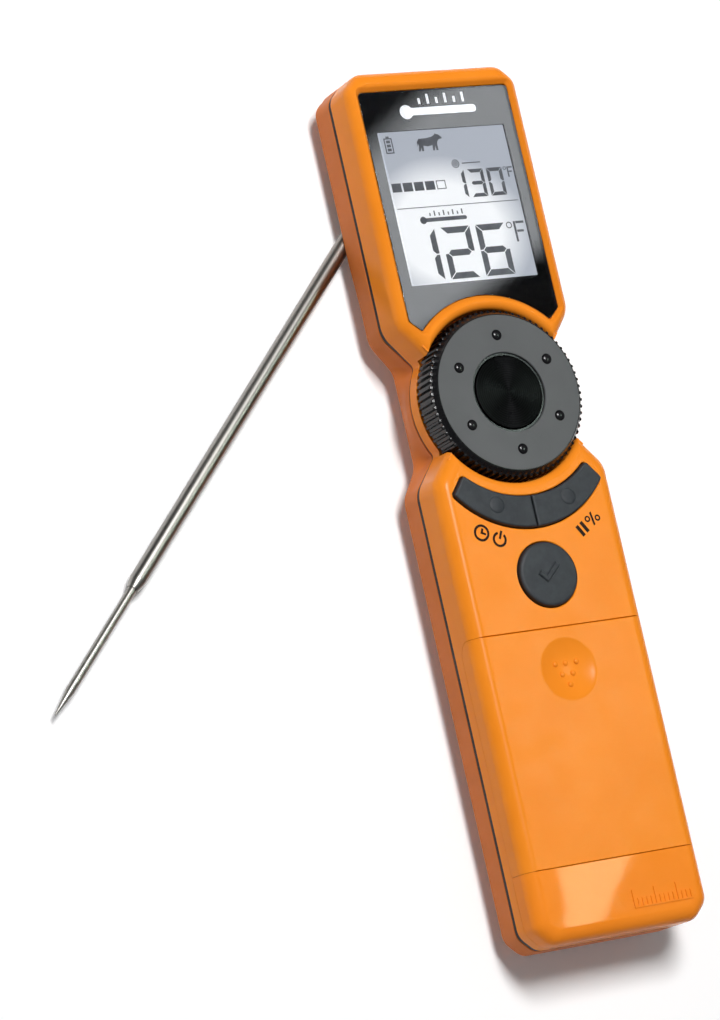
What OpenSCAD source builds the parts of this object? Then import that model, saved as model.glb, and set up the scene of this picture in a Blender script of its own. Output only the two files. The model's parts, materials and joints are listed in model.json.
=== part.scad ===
// Folding-probe meat thermometer, lying on its back.
// The origin is on the back face under the dial axis: +Y to the display end, +Z out of the display.

/* [Body] */
// Width across the head and the handle
body_w = 38; // [37:0.5:42]
// Thickness from the back face to the front face
body_t = 18.5; // [18:0.5:21]
// Length of the head past the display window
head_l = 12.05; // [11:0.05:18]
// Length of the handle past the battery bay
handle_l = 7.7; // [7:0.1:18]
// Width of the waist at the back
waist_w = 30.4; // [30:0.2:31.6]
// Width of the waist at the seam, on both sides of the bulge under the dial
neck_w = 27.3; // [27:0.1:28]
// Radius of the bulge under the dial
bulge_r = 16.2; // [16:0.1:16.4]
// Distance from the dial axis to where the full width starts
shoulder_y = 15.3; // [14.8:0.1:16]
// Distance from the dial axis to where the waist ends at the back
waist_y = 9.5; // [9:0.1:10]
// Cut at the four end corners
end_cut = 3.2; // [2.8:0.1:4]
// Rounding of the end corners' edges
end_r = 3.4; // [3.2:0.1:4]
// Rounding of the shoulders
shoulder_r = 5; // [4:0.5:6]
// Rounding where the shoulders meet the waist at the back
waist_r = 5; // [3:0.5:6]
// Rounding where the shoulders meet the bulge
neck_r = 1.2; // [0.8:0.1:1.6]
// Rounding of the front edge
front_r = 2.8; // [2:0.1:3]
// Rounding of the back edge
back_r = 1.6; // [1:0.1:2]
// Wall of the two shells
wall = 1.8; // [1.6:0.1:2]

/* [Seam] */
// Depth of the seam below the front face
seam_depth = 8.3; // [8:0.1:9]
// Height of the gasket that shows in the seam
gasket_h = 0.7; // [0.5:0.1:1]
// Width of the gasket
gasket_w = 1.2; // [1:0.1:1.4]
// Set-back of the gasket from the outside
gasket_inset = 0.3; // [0.2:0.1:0.4]

/* [Display] */
// Bezel beside and above the lens
bezel = 2.5; // [2.4:0.1:3]
// Depth of the lens below the front face
lens_drop = 1; // [0.6:0.1:1.2]
// Thickness of the lens
lens_t = 0.8; // [0.6:0.1:1.2]
// Radius of the lens's lower arc about the dial axis
lens_arc_r = 19.9; // [19.6:0.1:20.4]
// Width of the display window
window_w = 28; // [26:0.2:28.4]
// Height of the display window
window_h = 30.5; // [28:0.1:31]
// Distance from the dial axis to the window's lower edge
window_y = 22.95; // [22.6:0.05:24]
// Thickness of the liquid crystal glass
lcd_t = 2; // [1.6:0.1:2.2]
// Margin of the glass round its window
lcd_margin = 0.7; // [0.4:0.1:0.8]

/* [Dial] */
// Radius over the knurl
knurl_r = 16.5; // [16.2:0.1:16.6]
// Number of knurl ribs
knurl_n = 76; // [60:2:90]
// Depth of the knurl
knurl_depth = 0.5; // [0.3:0.1:0.7]
// Radius of the face plate
face_r = 15.15; // [14.4:0.05:15.3]
// Height of the face plate above the front face
face_rise = 1.5; // [1.2:0.1:2]
// Height of the knurl's top above the front face
knurl_rise = 0.4; // [0.2:0.1:0.8]
// Depth of the dial well below the front face
well_depth = 5.4; // [5.2:0.1:5.6]
// Radius of the dial well
well_r = 17; // [16.9:0.1:17.2]
// Radius of the middle cap
cap_r = 7.3; // [6:0.1:8]
// Radius of the circle of rivets
rivet_circle_r = 11.2; // [10.6:0.1:12]
// Number of rivets
rivet_n = 6; // [4:1:8]
// Radius of a rivet's dome
rivet_r = 1.05; // [0.8:0.05:1.2]
// Radius of the encoder shaft
shaft_r = 3; // [2.5:0.1:3.2]

/* [Keys] */
// Inner radius of the arc keys about the dial axis
key_in_r = 20; // [19.8:0.1:20.4]
// Outer radius of the arc keys
key_out_r = 20.8; // [20.4:0.1:21.2]
// Distance below the dial axis of the outer arc's centre
key_out_y = 5.3; // [5:0.1:5.8]
// Inner corner of the arc keys' ends, across
key_end_x = 13.5; // [12.5:0.1:14]
// Radius of the round key
enter_r = 6.2; // [5.5:0.1:6.4]
// Distance from the dial axis to the round key
enter_y = 35.3; // [34.8:0.1:36]
// Height of the keys above the front face
key_rise = 0.8; // [0.6:0.1:1.2]
// Travel of the keys
key_travel = 0.6; // [0.4:0.1:0.8]

/* [Battery bay] */
// Distance from the dial axis to the cover's upper edge
cover_y = 45.3; // [45:0.1:46]
// Distance from the dial axis to the line above the end cap
cover_split_y = 89.6; // [85:0.1:92]
// Depth of the cover's side edge below the front face
cover_depth = 5.3; // [5:0.1:5.6]
// Thickness of the cover
cover_t = 1.6; // [1.5:0.1:1.7]
// Rounding of the cover's side corner
cover_corner_r = 3; // [2:0.5:4]
// Radius of the thumb dimple
dimple_r = 5.3; // [4:0.1:6]
// Depth of the thumb dimple
dimple_depth = 0.9; // [0.5:0.1:1]
// Diameter of an AAA cell
cell_d = 10.4; // [10.2:0.1:10.5]
// Length of an AAA cell with its button
cell_l = 44.5; // [44:0.1:44.6]
// Wire of the contact springs
spring_wire_d = 0.6; // [0.4:0.05:0.7]
// Turns of a contact spring
spring_turns = 2; // [2:0.5:2.5]

/* [Probe] */
// Diameter of the probe's tube
probe_d = 3.2; // [2.8:0.1:3.4]
// Diameter of the thin pointed end
needle_d = 1.8; // [1.4:0.1:2]
// Length from the hinge axis to the point
probe_l = 124.5; // [115:0.5:130]
// Length of the thin end
needle_l = 29; // [20:0.5:40]
// Length of the point's cone
point_l = 5.5; // [3:0.5:8]
// Distance from the left side to the hinge axis
pivot_inset = 8; // [7.8:0.1:8.4]
// Distance from the dial axis to the hinge axis
pivot_y = 43.6; // [42:0.1:46]
// Angle that the probe is folded out
open_angle = 44; // [0:1:180]
// Radius of the hinge hub
hub_r = 5.2; // [4.8:0.1:5.4]
// Radius of the hub's spigot
spigot_r = 2.6; // [2.4:0.1:2.8]
// Height of the probe's underside above the back face
probe_lift = 0.9; // [0.7:0.1:1.1]
// Step of the back at the battery end
end_step = 1.4; // [1:0.1:1.6]

/* [Fasteners] */
// Radius of the case screws' heads
screw_head_r = 2; // [1.8:0.1:2.1]
// Radius of the case screws' shanks
screw_r = 1.1; // [1:0.05:1.2]

/* [Hidden] */
$fn = 64;

// Clearances
press = 0.02;
run = 0.05;
slip = 0.15;
free = 0.3;
far = 200;
cut = 1;

// Colours
orange = [0.95, 0.45, 0.10];
black = [0.05, 0.05, 0.06];
grey = [0.30, 0.31, 0.33];
slate = [0.16, 0.18, 0.21];
steel = [0.72, 0.71, 0.69];
brass = [0.80, 0.65, 0.30];

// Heights of the front stack
hw = body_w / 2;
ww = waist_w / 2;
nw = neck_w / 2;
front_in = body_t - wall;
seam_z = body_t - seam_depth;
lens_z = body_t - lens_drop;
ledge_t = 1;
ledge_z = lens_z - lens_t - ledge_t;
lcd_z = lens_z - lens_t - run;
board_t = 1.2;
board_depth = 7.4;
board_z = body_t - board_depth;
board_low = board_z - board_t;
board_room = 0.6;
board_edge = wall + board_room;
floor_t = 1.6;
well_z = body_t - well_depth;
cup_z = well_z - floor_t;
cup_wall = 1.6;
cup_r = well_r + cup_wall;
well_edge = 1.1;

// Probe and the rabbet that it folds into
probe_r = probe_d / 2;
needle_r = needle_d / 2;
probe_z = probe_lift + probe_r;
pivot_x = -hw + pivot_inset;
rabbet_over = 0.9;
rabbet_beside = 0.8;
rabbet_z = probe_z + probe_r + rabbet_over;
rabbet_x = pivot_x + probe_r + rabbet_beside;
rabbet_wall = 1.4;
rabbet_top = rabbet_z + rabbet_wall;
lip_h = 0.6;
lip_w = 1.6;
lip_y = 31.5;
pocket_r = hub_r + free;
hub_low = 0.55;
hub_room = 0.4;
hub_top = rabbet_z - hub_room;
spigot_h = 2.2;
spigot_top = rabbet_top + spigot_h;
wire_bore_r = 1;
washer_t = 0.6;
clip_room = 0.1;
clip_z = rabbet_top + washer_t + clip_room;
clip_t = 0.55;
clip_bite = 0.4;
clip_groove_r = spigot_r - clip_bite;
seal_wire_r = 0.45;
seal_z = (rabbet_z + rabbet_top) / 2;
cap_plug_r = 3.6;
cap_plug_t = 0.4;
tube_start = 2.4;
tube_wall = 0.4;
tube_bore_r = probe_r - tube_wall;
step_at = probe_l - needle_l;
cone_l = 2;
collar_l = 2;

// Battery bay
cell_r = cell_d / 2;
tray_low = wall + run;
tray_room = 0.2;
tray_x = rabbet_x + rabbet_wall + tray_room;
tray_side = 0.9;
tray_floor = 1.8;
cell_gap = 0.4;
cell_x = [tray_x + tray_side + cell_r, tray_x + tray_side + cell_r * 3 + cell_gap];
cell_z = tray_low + tray_floor + cell_r;
plate_t = 0.4;
spring_l = 2.9;
spring_r = [3.6, 2.2];
spring_rings = 16;
spring_sides = 6;
end_wall = 1;
tray_y = cover_y + free;
bay_y = tray_y + end_wall;
bay_l = cell_l + spring_l + 2 * plate_t;
tray_l = bay_l + 2 * end_wall;
curb_h = 3.2;
tray_rise = 5.4;
tray_top = cell_z + tray_rise;
deck_t = 1.6;
slide_gap = 0.25;
deck_z = body_t - cover_t - slide_gap;
cover_side = 1.4;
rail_inset = cover_side + slide_gap;
cover_z = body_t - cover_depth;
lip_reach = 0.85;
lip_t = 1;
bay_left = cell_x[0] - cell_r - cell_gap;
bay_right = cell_x[1] + cell_r + free;
bulkhead_t = 1.1;
bulkhead_y = cover_y - bulkhead_t;
tab_w = 3;
tab_t = 0.3;

// The case ends past the display window and past the battery bay
head_end = window_y + window_h + head_l;
handle_end = tray_y + tray_l + handle_l;

// Screws: each place, and the heights that all share
head_lift = 0.2;
head_low = rabbet_z + head_lift;
head_t = 1.3;
head_top = head_low + head_t;
screw_rise = 2.7;
screw_top = board_z + screw_rise;
post_wall = 1.2;
post_r = screw_head_r + post_wall;
boss_wall = 1.3;
boss_r = screw_r + boss_wall;
post_gap = 0.1;
post_top = board_low - post_gap;
head_screw = [hw - 6.5, head_end - 5.2];
waist_screw = [hw - 6.2, 0.8 - shoulder_y];
bay_screw = [hw - 8, -tray_y - tray_l - 3.4];
screw_at = [for (p = [head_screw, waist_screw, bay_screw], s = [1, -1]) [s * p.x, p.y]];

// Keys
flange_t = 0.8;
flange_w = 0.55;
flange_gap = 0.1;
flange_z = front_in - flange_gap - flange_t;
key_gap = 0.2;
split_gap = 0.12;
end_slope = 51;
key_dot_r = 1.6;
key_dot_h = 0.3;
key_dot_at = [7.9, -21.1];
switch_w = 6;
switch_h = 3.1;
plunger_r = 1.5;
plunger_lift = 2.2;
plunger_low = board_z + plunger_lift;
switch_floor = plunger_low - key_travel - free;

// Plan outline, as the right half from the battery end to the display end, then mirrored.
// The waist is straight at the back. At the seam it is narrower and bulges under the dial.
neck_y = sqrt(bulge_r ^ 2 - nw ^ 2);
bulge_n = 6;
bulge_ys = [for (k = [1 : bulge_n - 1]) neck_y * (2 * k / bulge_n - 1)];
function half_plan(waist) = concat(
    [[hw - end_cut, -handle_end], [hw, -handle_end + end_cut], [hw, -shoulder_y]], waist,
    [[hw, shoulder_y], [hw, head_end - end_cut], [hw - end_cut, head_end]]);
function half_r(r) = concat([end_r, end_r, shoulder_r, r], [for (y = bulge_ys) 0],
    [r, shoulder_r, end_r, end_r]);
function both(half) = concat(half, [for (i = [len(half) - 1 : -1 : 0]) [-half[i].x, half[i].y]]);
back_plan = both(half_plan(concat([[ww, -waist_y]], [for (y = bulge_ys) [ww, y]], [[ww, waist_y]])));
seam_plan = both(half_plan(concat([[nw, -neck_y]], [for (y = bulge_ys) [sqrt(bulge_r ^ 2 - y ^ 2), y]],
    [[nw, neck_y]])));
back_plan_r = concat(half_r(waist_r), half_r(waist_r));
seam_plan_r = concat(half_r(neck_r), half_r(neck_r));
arc_steps = 4;
round_steps = 4;
least_r = 0.3;

function unit(v) = v / norm(v);
function at(list, i) = list[(i + len(list)) % len(list)];
function left_normal(a, b) = let (d = unit(b - a)) [-d.y, d.x];
function turn(a, b, c) = let (u = b - a, v = c - b) sign(u.x * v.y - u.y * v.x);

// Polygon with every edge moved inwards by d
function drawn_in(pts, d) = [for (i = [0 : len(pts) - 1])
    let (n1 = left_normal(at(pts, i - 1), pts[i]), n2 = left_normal(pts[i], at(pts, i + 1)))
    pts[i] + d * (n1 + n2) / (1 + n1 * n2)];

// Arc of radius r in the corner b between a and c
function corner_arc(a, b, c, r) =
    let (u = unit(a - b), v = unit(c - b), half = acos(u * v) / 2,
        mid = b + unit(u + v) * r / sin(half), from = b + u * r / tan(half) - mid,
        start = atan2(from.y, from.x), sweep = turn(a, b, c) * (180 - 2 * half))
    [for (k = [0 : arc_steps]) let (t = start + sweep * k / arc_steps) mid + r * [cos(t), sin(t)]];

// Rounded outline, moved inwards by d, of the back (seam false) or of the seam and the front (seam true)
function outline(d, seam = true) =
    let (p = drawn_in(seam ? seam_plan : back_plan, d), r = seam ? seam_plan_r : back_plan_r)
    [for (i = [0 : len(p) - 1]) let (a = at(p, i - 1), c = at(p, i + 1))
        each r[i] == 0 ? [p[i]] : corner_arc(a, p[i], c, max(least_r, r[i] - turn(a, p[i], c) * d))];

// Solid through a ring of the outline at each level, where a level is [inset, height, seam]
module loft(levels) {
    n = len(outline(0));
    points = [for (l = levels) each [for (p = outline(l[0], l[2])) [p.x, p.y, l[1]]]];
    sides = [for (l = [0 : len(levels) - 2], i = [0 : n - 1])
        let (j = (i + 1) % n, a = l * n + i, b = l * n + n + i, c = l * n + n + j, d = l * n + j)
        each levels[l][2] == levels[l + 1][2] ? [[a, b, c, d]] : [[a, b, c], [a, c, d]]];
    top = (len(levels) - 1) * n;
    polyhedron(points, concat([[for (i = [0 : n - 1]) i]], sides, [[for (i = [n - 1 : -1 : 0]) top + i]]));
}

// Level a little past b, on the line from a to b
past = 1.2;
function beyond(a, b) = a + past * (b - a);

// Whole outside of the case, with rounded front and back edges and level faces.
// Between the rabbet's roof and the seam the back's outline changes into the seam's.
module body_form() {
    back = [for (k = [1 : round_steps]) let (t = 90 * k / round_steps)
        [back_r * (1 - sin(t)), back_r * (1 - cos(t)), false]];
    side = [[0, rabbet_z, false], [0, seam_z - gasket_h / 2, true]];
    front = [for (k = [0 : round_steps - 1]) let (t = 90 * k / round_steps)
        [front_r * (1 - cos(t)), body_t - front_r * (1 - sin(t)), true]];
    low = concat(beyond([back[0].x, back[0].y], [back_r, 0]), false);
    under = front[round_steps - 1];
    high = concat(beyond([under.x, under.y], [front_r, body_t]), true);
    intersection() {
        loft(concat([low], back, side, front, [high]));
        block([-far, -far, 0], [far, far, body_t]);
    }
}

module plan_prism(inset, low, high, seam = true) {
    translate([0, 0, low]) linear_extrude(high - low) polygon(outline(inset, seam));
}

// Prism inside both outlines
module shared_prism(inset, low, high) {
    intersection() {
        plan_prism(inset, low, high, false);
        plan_prism(inset, low, high, true);
    }
}

// Box between two corners
module block(a, b) {
    translate(a) cube(b - a);
}

// A [y, z] shape drawn out along X, centred or between two places
module along_x(from = -far, to = far) {
    translate([from, 0, 0]) rotate([90, 0, 90]) linear_extrude(to - from) children();
}

// Seam line: level, with a wide gap on the straight sides and a hairline round the waist
seam_out = shoulder_y;
seam_hair = 0.15;
seam_band = nw - wall - free;
seam_ys = [-far, -seam_out, -neck_y, neck_y, seam_out, far];
function seam_gap(y) = abs(y) > neck_y ? gasket_h : seam_hair;
function seam_line(side) = [for (y = seam_ys) [y, seam_z + side * seam_gap(y) / 2]];

// Space above (side 1) or below (side -1) the gasket: level inside, and along the seam line at the walls
module seam_space(side) {
    edge = seam_z + side * gasket_h / 2;
    reach = edge + side * body_t;
    block([-seam_band, -far, min(edge, reach)], [seam_band, far, max(edge, reach)]);
    for (s = [[-far, -seam_band], [seam_band, far]])
        along_x(s[0], s[1]) polygon(concat(seam_line(side), [[far, reach], [-far, reach]]));
}

module front_half() {
    intersection() {
        body_form();
        seam_space(1);
    }
}

module rear_half() {
    intersection() {
        body_form();
        seam_space(-1);
    }
}

// Lens outline, grown by g, without its lower arc
lens_w = hw - bezel;
lens_low = 16.1;
lens_chamfer = [2.2, 2];
lens_tip = [lens_w, lens_low] - lens_chamfer;
lens_margin = 1.6;
lens_top = head_end - bezel - lens_margin;
function lens_plan(g) = drawn_in([[-lens_tip.x, lens_tip.y], lens_tip, [lens_w, lens_low],
    [lens_w, lens_top], [-lens_w, lens_top], [-lens_w, lens_low]], -g);

module lens_shape(g) {
    difference() {
        polygon(lens_plan(g));
        circle(lens_arc_r - g);
    }
}

// Opening above the lens, wider at the front face
module lens_mouth() {
    slope = lens_drop + cut;
    low = lens_plan(slip);
    high = lens_plan(slip + slope);
    n = len(low);
    points = concat([for (p = low) [p.x, p.y, lens_z]], [for (p = high) [p.x, p.y, lens_z + slope]]);
    sides = [for (i = [0 : n - 1]) let (j = (i + 1) % n) [i, n + i, n + j, j]];
    difference() {
        polyhedron(points, concat([[for (i = [0 : n - 1]) i]], sides, [[for (i = [n - 1 : -1 : 0]) n + i]]));
        translate([0, 0, lens_z - cut])
            cylinder(h = slope + 2 * cut, r1 = lens_arc_r - slip + cut, r2 = lens_arc_r - slip - slope - cut);
    }
}

// Dial well with its eased edge
module dial_well() {
    translate([0, 0, well_z]) cylinder(h = far, r = well_r);
    translate([0, 0, body_t - well_edge])
        cylinder(h = well_edge + cut, r1 = well_r, r2 = well_r + well_edge + cut);
}

// Right arc key, grown by g; the split face at x = 0 keeps its place
module arc_key_shape(g, split) {
    end_y = -sqrt(key_in_r ^ 2 - key_end_x ^ 2);
    along = [cos(end_slope), -sin(end_slope)];
    out = [along.y, -along.x] * -g;
    a = [key_end_x, end_y] + out - along * 14;
    b = [key_end_x, end_y] + out + along * 10;
    difference() {
        intersection() {
            translate([0, -key_out_y]) circle(key_out_r + g, $fn = 96);
            polygon([[split, a.y], a, b, [split, -far]]);
        }
        circle(key_in_r - g, $fn = 96);
    }
}

module arc_key() {
    translate([0, 0, flange_z]) linear_extrude(flange_t) arc_key_shape(flange_w, split_gap);
    translate([0, 0, flange_z]) linear_extrude(body_t + key_rise - flange_z) arc_key_shape(0, split_gap);
    translate([key_dot_at.x, key_dot_at.y, body_t + key_rise])
        cylinder(h = key_dot_h, r1 = key_dot_r, r2 = key_dot_r - key_dot_h);
}

// Thumb-grip dots: three rows that narrow towards the battery end
dot_pitch = 2.35;
dot_r = 0.55;
dimple_drop = 8.2;
dimple_y = -cover_y - dimple_drop;
dimple_ball = (dimple_r ^ 2 + dimple_depth ^ 2) / (2 * dimple_depth);
dimple_mid = body_t - dimple_depth + dimple_ball;
row_pitch = 2.07;
first_row = 1.3;
dot_at = [for (row = [0 : 2], k = [0 : 2 - row])
    [(k - (2 - row) / 2) * dot_pitch, dimple_y + first_row - row * row_pitch]];

// Side shape of the battery cover with a rounded upper corner, drawn in by g
module cover_zone(g) {
    top = -cover_y - g;
    low = cover_z + g;
    r = cover_corner_r;
    along_x() difference() {
        polygon([[-far, low], [top, low], [top, far], [-far, far]]);
        difference() {
            translate([top - r, low - cut]) square([r + cut, r + cut]);
            translate([top - r, low + r]) circle(r);
        }
    }
}

module cover_form() {
    difference() {
        intersection() {
            body_form();
            cover_zone(slip / 2);
        }
        plan_prism(cover_side, 0, body_t - cover_t);
        block([-far, -handle_end, 0], [far, far, cover_z]);
        translate([0, dimple_y, dimple_mid]) sphere(dimple_ball, $fn = 128);
    }
    for (s = [0, 1]) mirror([s, 0, 0])
        block([hw - cover_side - lip_reach, -handle_end + end_cut + 1, cover_z + slip],
            [hw - cover_side + press, -cover_y - cover_corner_r - 1, cover_z + slip + lip_t]);
}

// Room under the cover for the rails, the deck and the lips
module rails() {
    groove_z = cover_z + lip_t + slip + free;
    difference() {
        plan_prism(rail_inset, seam_z, deck_z);
        block([-far, -cover_y - free, 0], [far, far, body_t]);
        for (s = [0, 1]) mirror([s, 0, 0])
            block([hw - cover_side - lip_reach - free, -far, cover_z], [far, -cover_y, groove_z]);
    }
}

// Hollow of the front shell round the dial cup and under the thick lens ledge
module front_cavity() {
    difference() {
        intersection() {
            plan_prism(wall, 0, front_in);
            block([-far, -bulkhead_y, 0], [far, far, body_t]);
        }
        translate([0, 0, cup_z]) cylinder(h = far, r = cup_r);
        block([-far, 0, ledge_z], [far, far, body_t]);
    }
}

lcd_box = [window_w / 2 + lcd_margin, window_y - lcd_margin, window_y + window_h + lcd_margin];
frame_wall = 0.8;

module frame_plan(g) {
    translate([-lcd_box[0] - g, lcd_box[1] - g])
        square([2 * (lcd_box[0] + g), lcd_box[2] - lcd_box[1] + 2 * g]);
}

// A boss hangs from the lens ledge, from the dial cup or from the battery deck
function boss_top(y) = y > 0 ? ledge_z + slip : y > -cover_y ? screw_top + 0.6 : deck_z - deck_t + slip;

module front_shell() color(orange) difference() {
    union() {
        difference() {
            front_half();
            cover_zone(0);
            front_cavity();
        }
        rails();
        for (p = screw_at) translate([p.x, p.y, board_z]) cylinder(h = boss_top(p.y) - board_z, r = boss_r);
    }
    lens_mouth();
    translate([0, 0, lens_z - lens_t]) linear_extrude(lens_t + press) lens_shape(slip);
    linear_extrude(far) frame_plan(frame_wall + slip);
    dial_well();
    seal_groove();
    cylinder(h = far, r = shaft_r + 1.1);
    for (s = [0, 1]) mirror([s, 0, 0]) translate([0, 0, cup_z]) linear_extrude(far) arc_key_shape(key_gap, 0);
    translate([0, -enter_y, cup_z]) cylinder(h = far, r = enter_r + key_gap);
    block([bay_left, -tray_y - tray_l + 0.8, 0], [bay_right, -tray_y - 0.8, far]);
    difference() {
        block([-hw + rail_inset + 2, -handle_end + rail_inset + wall, 0],
            [hw - rail_inset - 1.6, -tray_y + run, deck_z - deck_t]);
        for (p = screw_at) translate(p) cylinder(h = far, r = boss_r);
    }
    for (p = screw_at) translate([p.x, p.y, 0]) cylinder(h = screw_top + 0.2, r = screw_r + press);
    for (x = cell_x) block([x - tab_w / 2 - slip, -tray_y - 1, board_z - slip],
        [x + tab_w / 2 + slip, -bulkhead_y + 1, board_z + tab_t + slip]);
}

// Space that the probe and its hub turn in, open at both ends, and the step across the battery end
module rabbet() {
    block([-far, -far, -cut], [rabbet_x, far, rabbet_z - lip_h]);
    block([-far, -far, -cut], [rabbet_x, lip_y, rabbet_z]);
    block([-hw + lip_w, -far, -cut], [rabbet_x, far, rabbet_z]);
    block([-far, -far, -cut], [far, end_step - handle_end, rabbet_z]);
    translate([pivot_x, pivot_y, -cut]) cylinder(h = rabbet_z + cut, r = pocket_r);
}

// Hollow of the rear shell, clear of the rabbet and the step
module rear_cavity() {
    shared_prism(wall, rabbet_top, far);
    difference() {
        shared_prism(wall, wall, rabbet_top + cut);
        block([-far, -far, 0], [rabbet_x + rabbet_wall, far, far]);
        block([-far, -far, 0], [far, end_step + rabbet_wall - handle_end, far]);
        translate([pivot_x, pivot_y, 0]) cylinder(h = far, r = pocket_r + rabbet_wall);
    }
}

module rear_shell() color(orange) difference() {
    union() {
        difference() {
            rear_half();
            rear_cavity();
        }
        for (p = screw_at) translate([p.x, p.y, wall / 2]) cylinder(h = post_top - wall / 2, r = post_r);
    }
    rabbet();
    translate([pivot_x, pivot_y, 0]) cylinder(h = far, r = spigot_r + run);
    for (p = screw_at) translate([p.x, p.y, -cut]) {
        cylinder(h = head_top + cut, r = screw_head_r + slip);
        cylinder(h = far, r = screw_r + slip);
    }
}

module body_gasket() color(black) intersection() {
    difference() {
        plan_prism(gasket_inset, 0, body_t);
        plan_prism(gasket_inset + gasket_w, -cut, body_t + cut);
    }
    along_x() polygon(concat(seam_line(1), [for (i = [len(seam_ys) - 1 : -1 : 0]) seam_line(-1)[i]]));
}

module display_lens() color(black) translate([0, 0, lens_z - lens_t + press])
    linear_extrude(lens_t - press) lens_shape(0);

module lcd_frame() color(black) difference() {
    translate([0, 0, board_z]) linear_extrude(lcd_z - board_z) frame_plan(frame_wall);
    linear_extrude(far) frame_plan(run);
}

module lcd_panel() color([0.85, 0.9, 0.95]) translate([0, 0, lcd_z - lcd_t])
    linear_extrude(lcd_t) frame_plan(0);

module backlight_panel() color("white") translate([0, 0, board_z])
    linear_extrude(lcd_z - lcd_t - board_z - run) frame_plan(-0.2);

module main_board() color([0.1, 0.4, 0.2]) difference() {
    intersection() {
        shared_prism(board_edge, board_low, board_z);
        block([-far, -bulkhead_y + slip, 0], [far, far, far]);
    }
    for (p = screw_at) translate([p.x, p.y, 0]) cylinder(h = far, r = screw_r + slip);
    cylinder(h = far, r = shaft_r + 0.8);
}

encoder_w = 12;
encoder_h = 3.4;

module encoder_body() color(steel) difference() {
    translate([-encoder_w / 2, -encoder_w / 2, board_low - encoder_h])
        cube([encoder_w, encoder_w, encoder_h]);
    translate([0, 0, board_low - encoder_h + 0.6]) cylinder(h = far, r = shaft_r + run);
}

module encoder_bush() color(brass) difference() {
    translate([0, 0, board_low]) cylinder(h = well_z - board_low, r = shaft_r + 0.7);
    cylinder(h = far, r = shaft_r + run);
}

seal_ring_r = shaft_r + 2;
dial_seal_r = 0.45;
dial_seal_rise = 0.15;

module seal_groove() {
    translate([0, 0, well_z + dial_seal_rise - 2 * dial_seal_r]) rotate_extrude()
        translate([seal_ring_r - dial_seal_r, 0]) square([2 * dial_seal_r, cut]);
}

module dial_seal() color(black) translate([0, 0, well_z + dial_seal_rise - dial_seal_r])
    rotate_extrude() translate([seal_ring_r, 0]) circle(dial_seal_r - press);

module switch_body(p) {
    translate([p.x, p.y, 0]) difference() {
        block([-switch_w / 2, -switch_w / 2, board_z], [switch_w / 2, switch_w / 2, board_z + switch_h]);
        translate([0, 0, switch_floor]) cylinder(h = far, r = plunger_r + run);
    }
}

switch_at = [[-key_dot_at.x, key_dot_at.y], key_dot_at, [0, -enter_y]];

module key_switches() color(grey) for (p = switch_at) switch_body(p);

module plunger(p) {
    translate([p.x, p.y, plunger_low]) cylinder(h = flange_z - plunger_low, r = plunger_r);
}

buzzer_at = [5.5, 32];
buzzer_r = 6;
buzzer_h = 2.5;

module buzzer() color(black) translate([buzzer_at.x, buzzer_at.y, board_low - buzzer_h]) difference() {
    cylinder(h = buzzer_h, r = buzzer_r);
    translate([0, 0, -cut]) cylinder(h = 1 + cut, r = 1);
}

// A cell lies along Y
module along_y(x, y, z) {
    translate([x, y, z]) rotate([90, 0, 0]) children();
}

module battery_tray() color(slate) difference() {
    union() {
        block([tray_x, -tray_y - tray_l, tray_low], [hw - wall - slip, -tray_y, tray_low + curb_h]);
        for (y = [-tray_y - end_wall, -tray_y - tray_l])
            block([tray_x, y, tray_low], [bay_right - free, y + end_wall, tray_top]);
    }
    for (x = cell_x) along_y(x, -bay_y, cell_z) cylinder(h = bay_l, r = cell_r + slip);
    for (x = cell_x) block([x - tab_w / 2 - slip, -bay_y - cut, board_z - slip],
        [x + tab_w / 2 + slip, -tray_y + cut, far]);
}

button_l = 1;
button_r = 1.9;

// Cell with its button at the start of its length, or at the far end when turned
module cell(x, turned) {
    start = -bay_y - plate_t - (turned ? spring_l : 0) - press;
    along_y(x, start, cell_z)
    translate([0, 0, turned ? cell_l - 2 * press : 0]) mirror([0, 0, turned ? 1 : 0]) {
        translate([0, 0, button_l]) cylinder(h = cell_l - button_l - 2 * press, r = cell_r);
        cylinder(h = button_l + press, r = button_r);
    }
}

module battery_left() color(brass) cell(cell_x[0], false);
module battery_right() color(brass) cell(cell_x[1], true);

// Conical coil from its wide end to its narrow end
spring_rise = spring_l - spring_wire_d - 2 * run;
spring_count = spring_turns * spring_rings;
function coil_point(k) = let (t = k / spring_count, r = spring_r[0] + (spring_r[1] - spring_r[0]) * t,
    a = 360 * spring_turns * t) [r * cos(a), r * sin(a), spring_wire_d / 2 + run + spring_rise * t];
function coil_ring(k) = let (c = coil_point(k), a = 360 * spring_turns * k / spring_count)
    [for (s = [0 : spring_sides - 1]) let (b = 360 * s / spring_sides)
        c + spring_wire_d / 2 * [cos(b) * cos(a), cos(b) * sin(a), sin(b)]];
coil_gap = min([for (i = [0 : spring_count], j = [i + spring_rings / 2 : 1 : spring_count])
    norm(coil_point(i) - coil_point(j))]) - spring_wire_d;
echo(least_gap_between_spring_turns = coil_gap);

module contact_spring() {
    n = spring_sides;
    points = [for (k = [0 : spring_count]) each coil_ring(k)];
    sides = [for (k = [0 : spring_count - 1], i = [0 : n - 1]) let (j = (i + 1) % n, a = k * n, b = a + n)
        each [[a + i, a + j, b + j], [a + i, b + j, b + i]]];
    caps = [for (i = [1 : n - 2]) each [[0, i + 1, i], spring_count * n * [1, 1, 1] + [0, i, i + 1]]];
    polyhedron(points, concat(sides, caps));
}

module battery_springs() color(steel) {
    along_y(cell_x[1], -bay_y - plate_t, cell_z) contact_spring();
    along_y(cell_x[0], -bay_y - bay_l + plate_t, cell_z) mirror([0, 0, 1]) contact_spring();
}

plate_half = 3.55;

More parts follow.
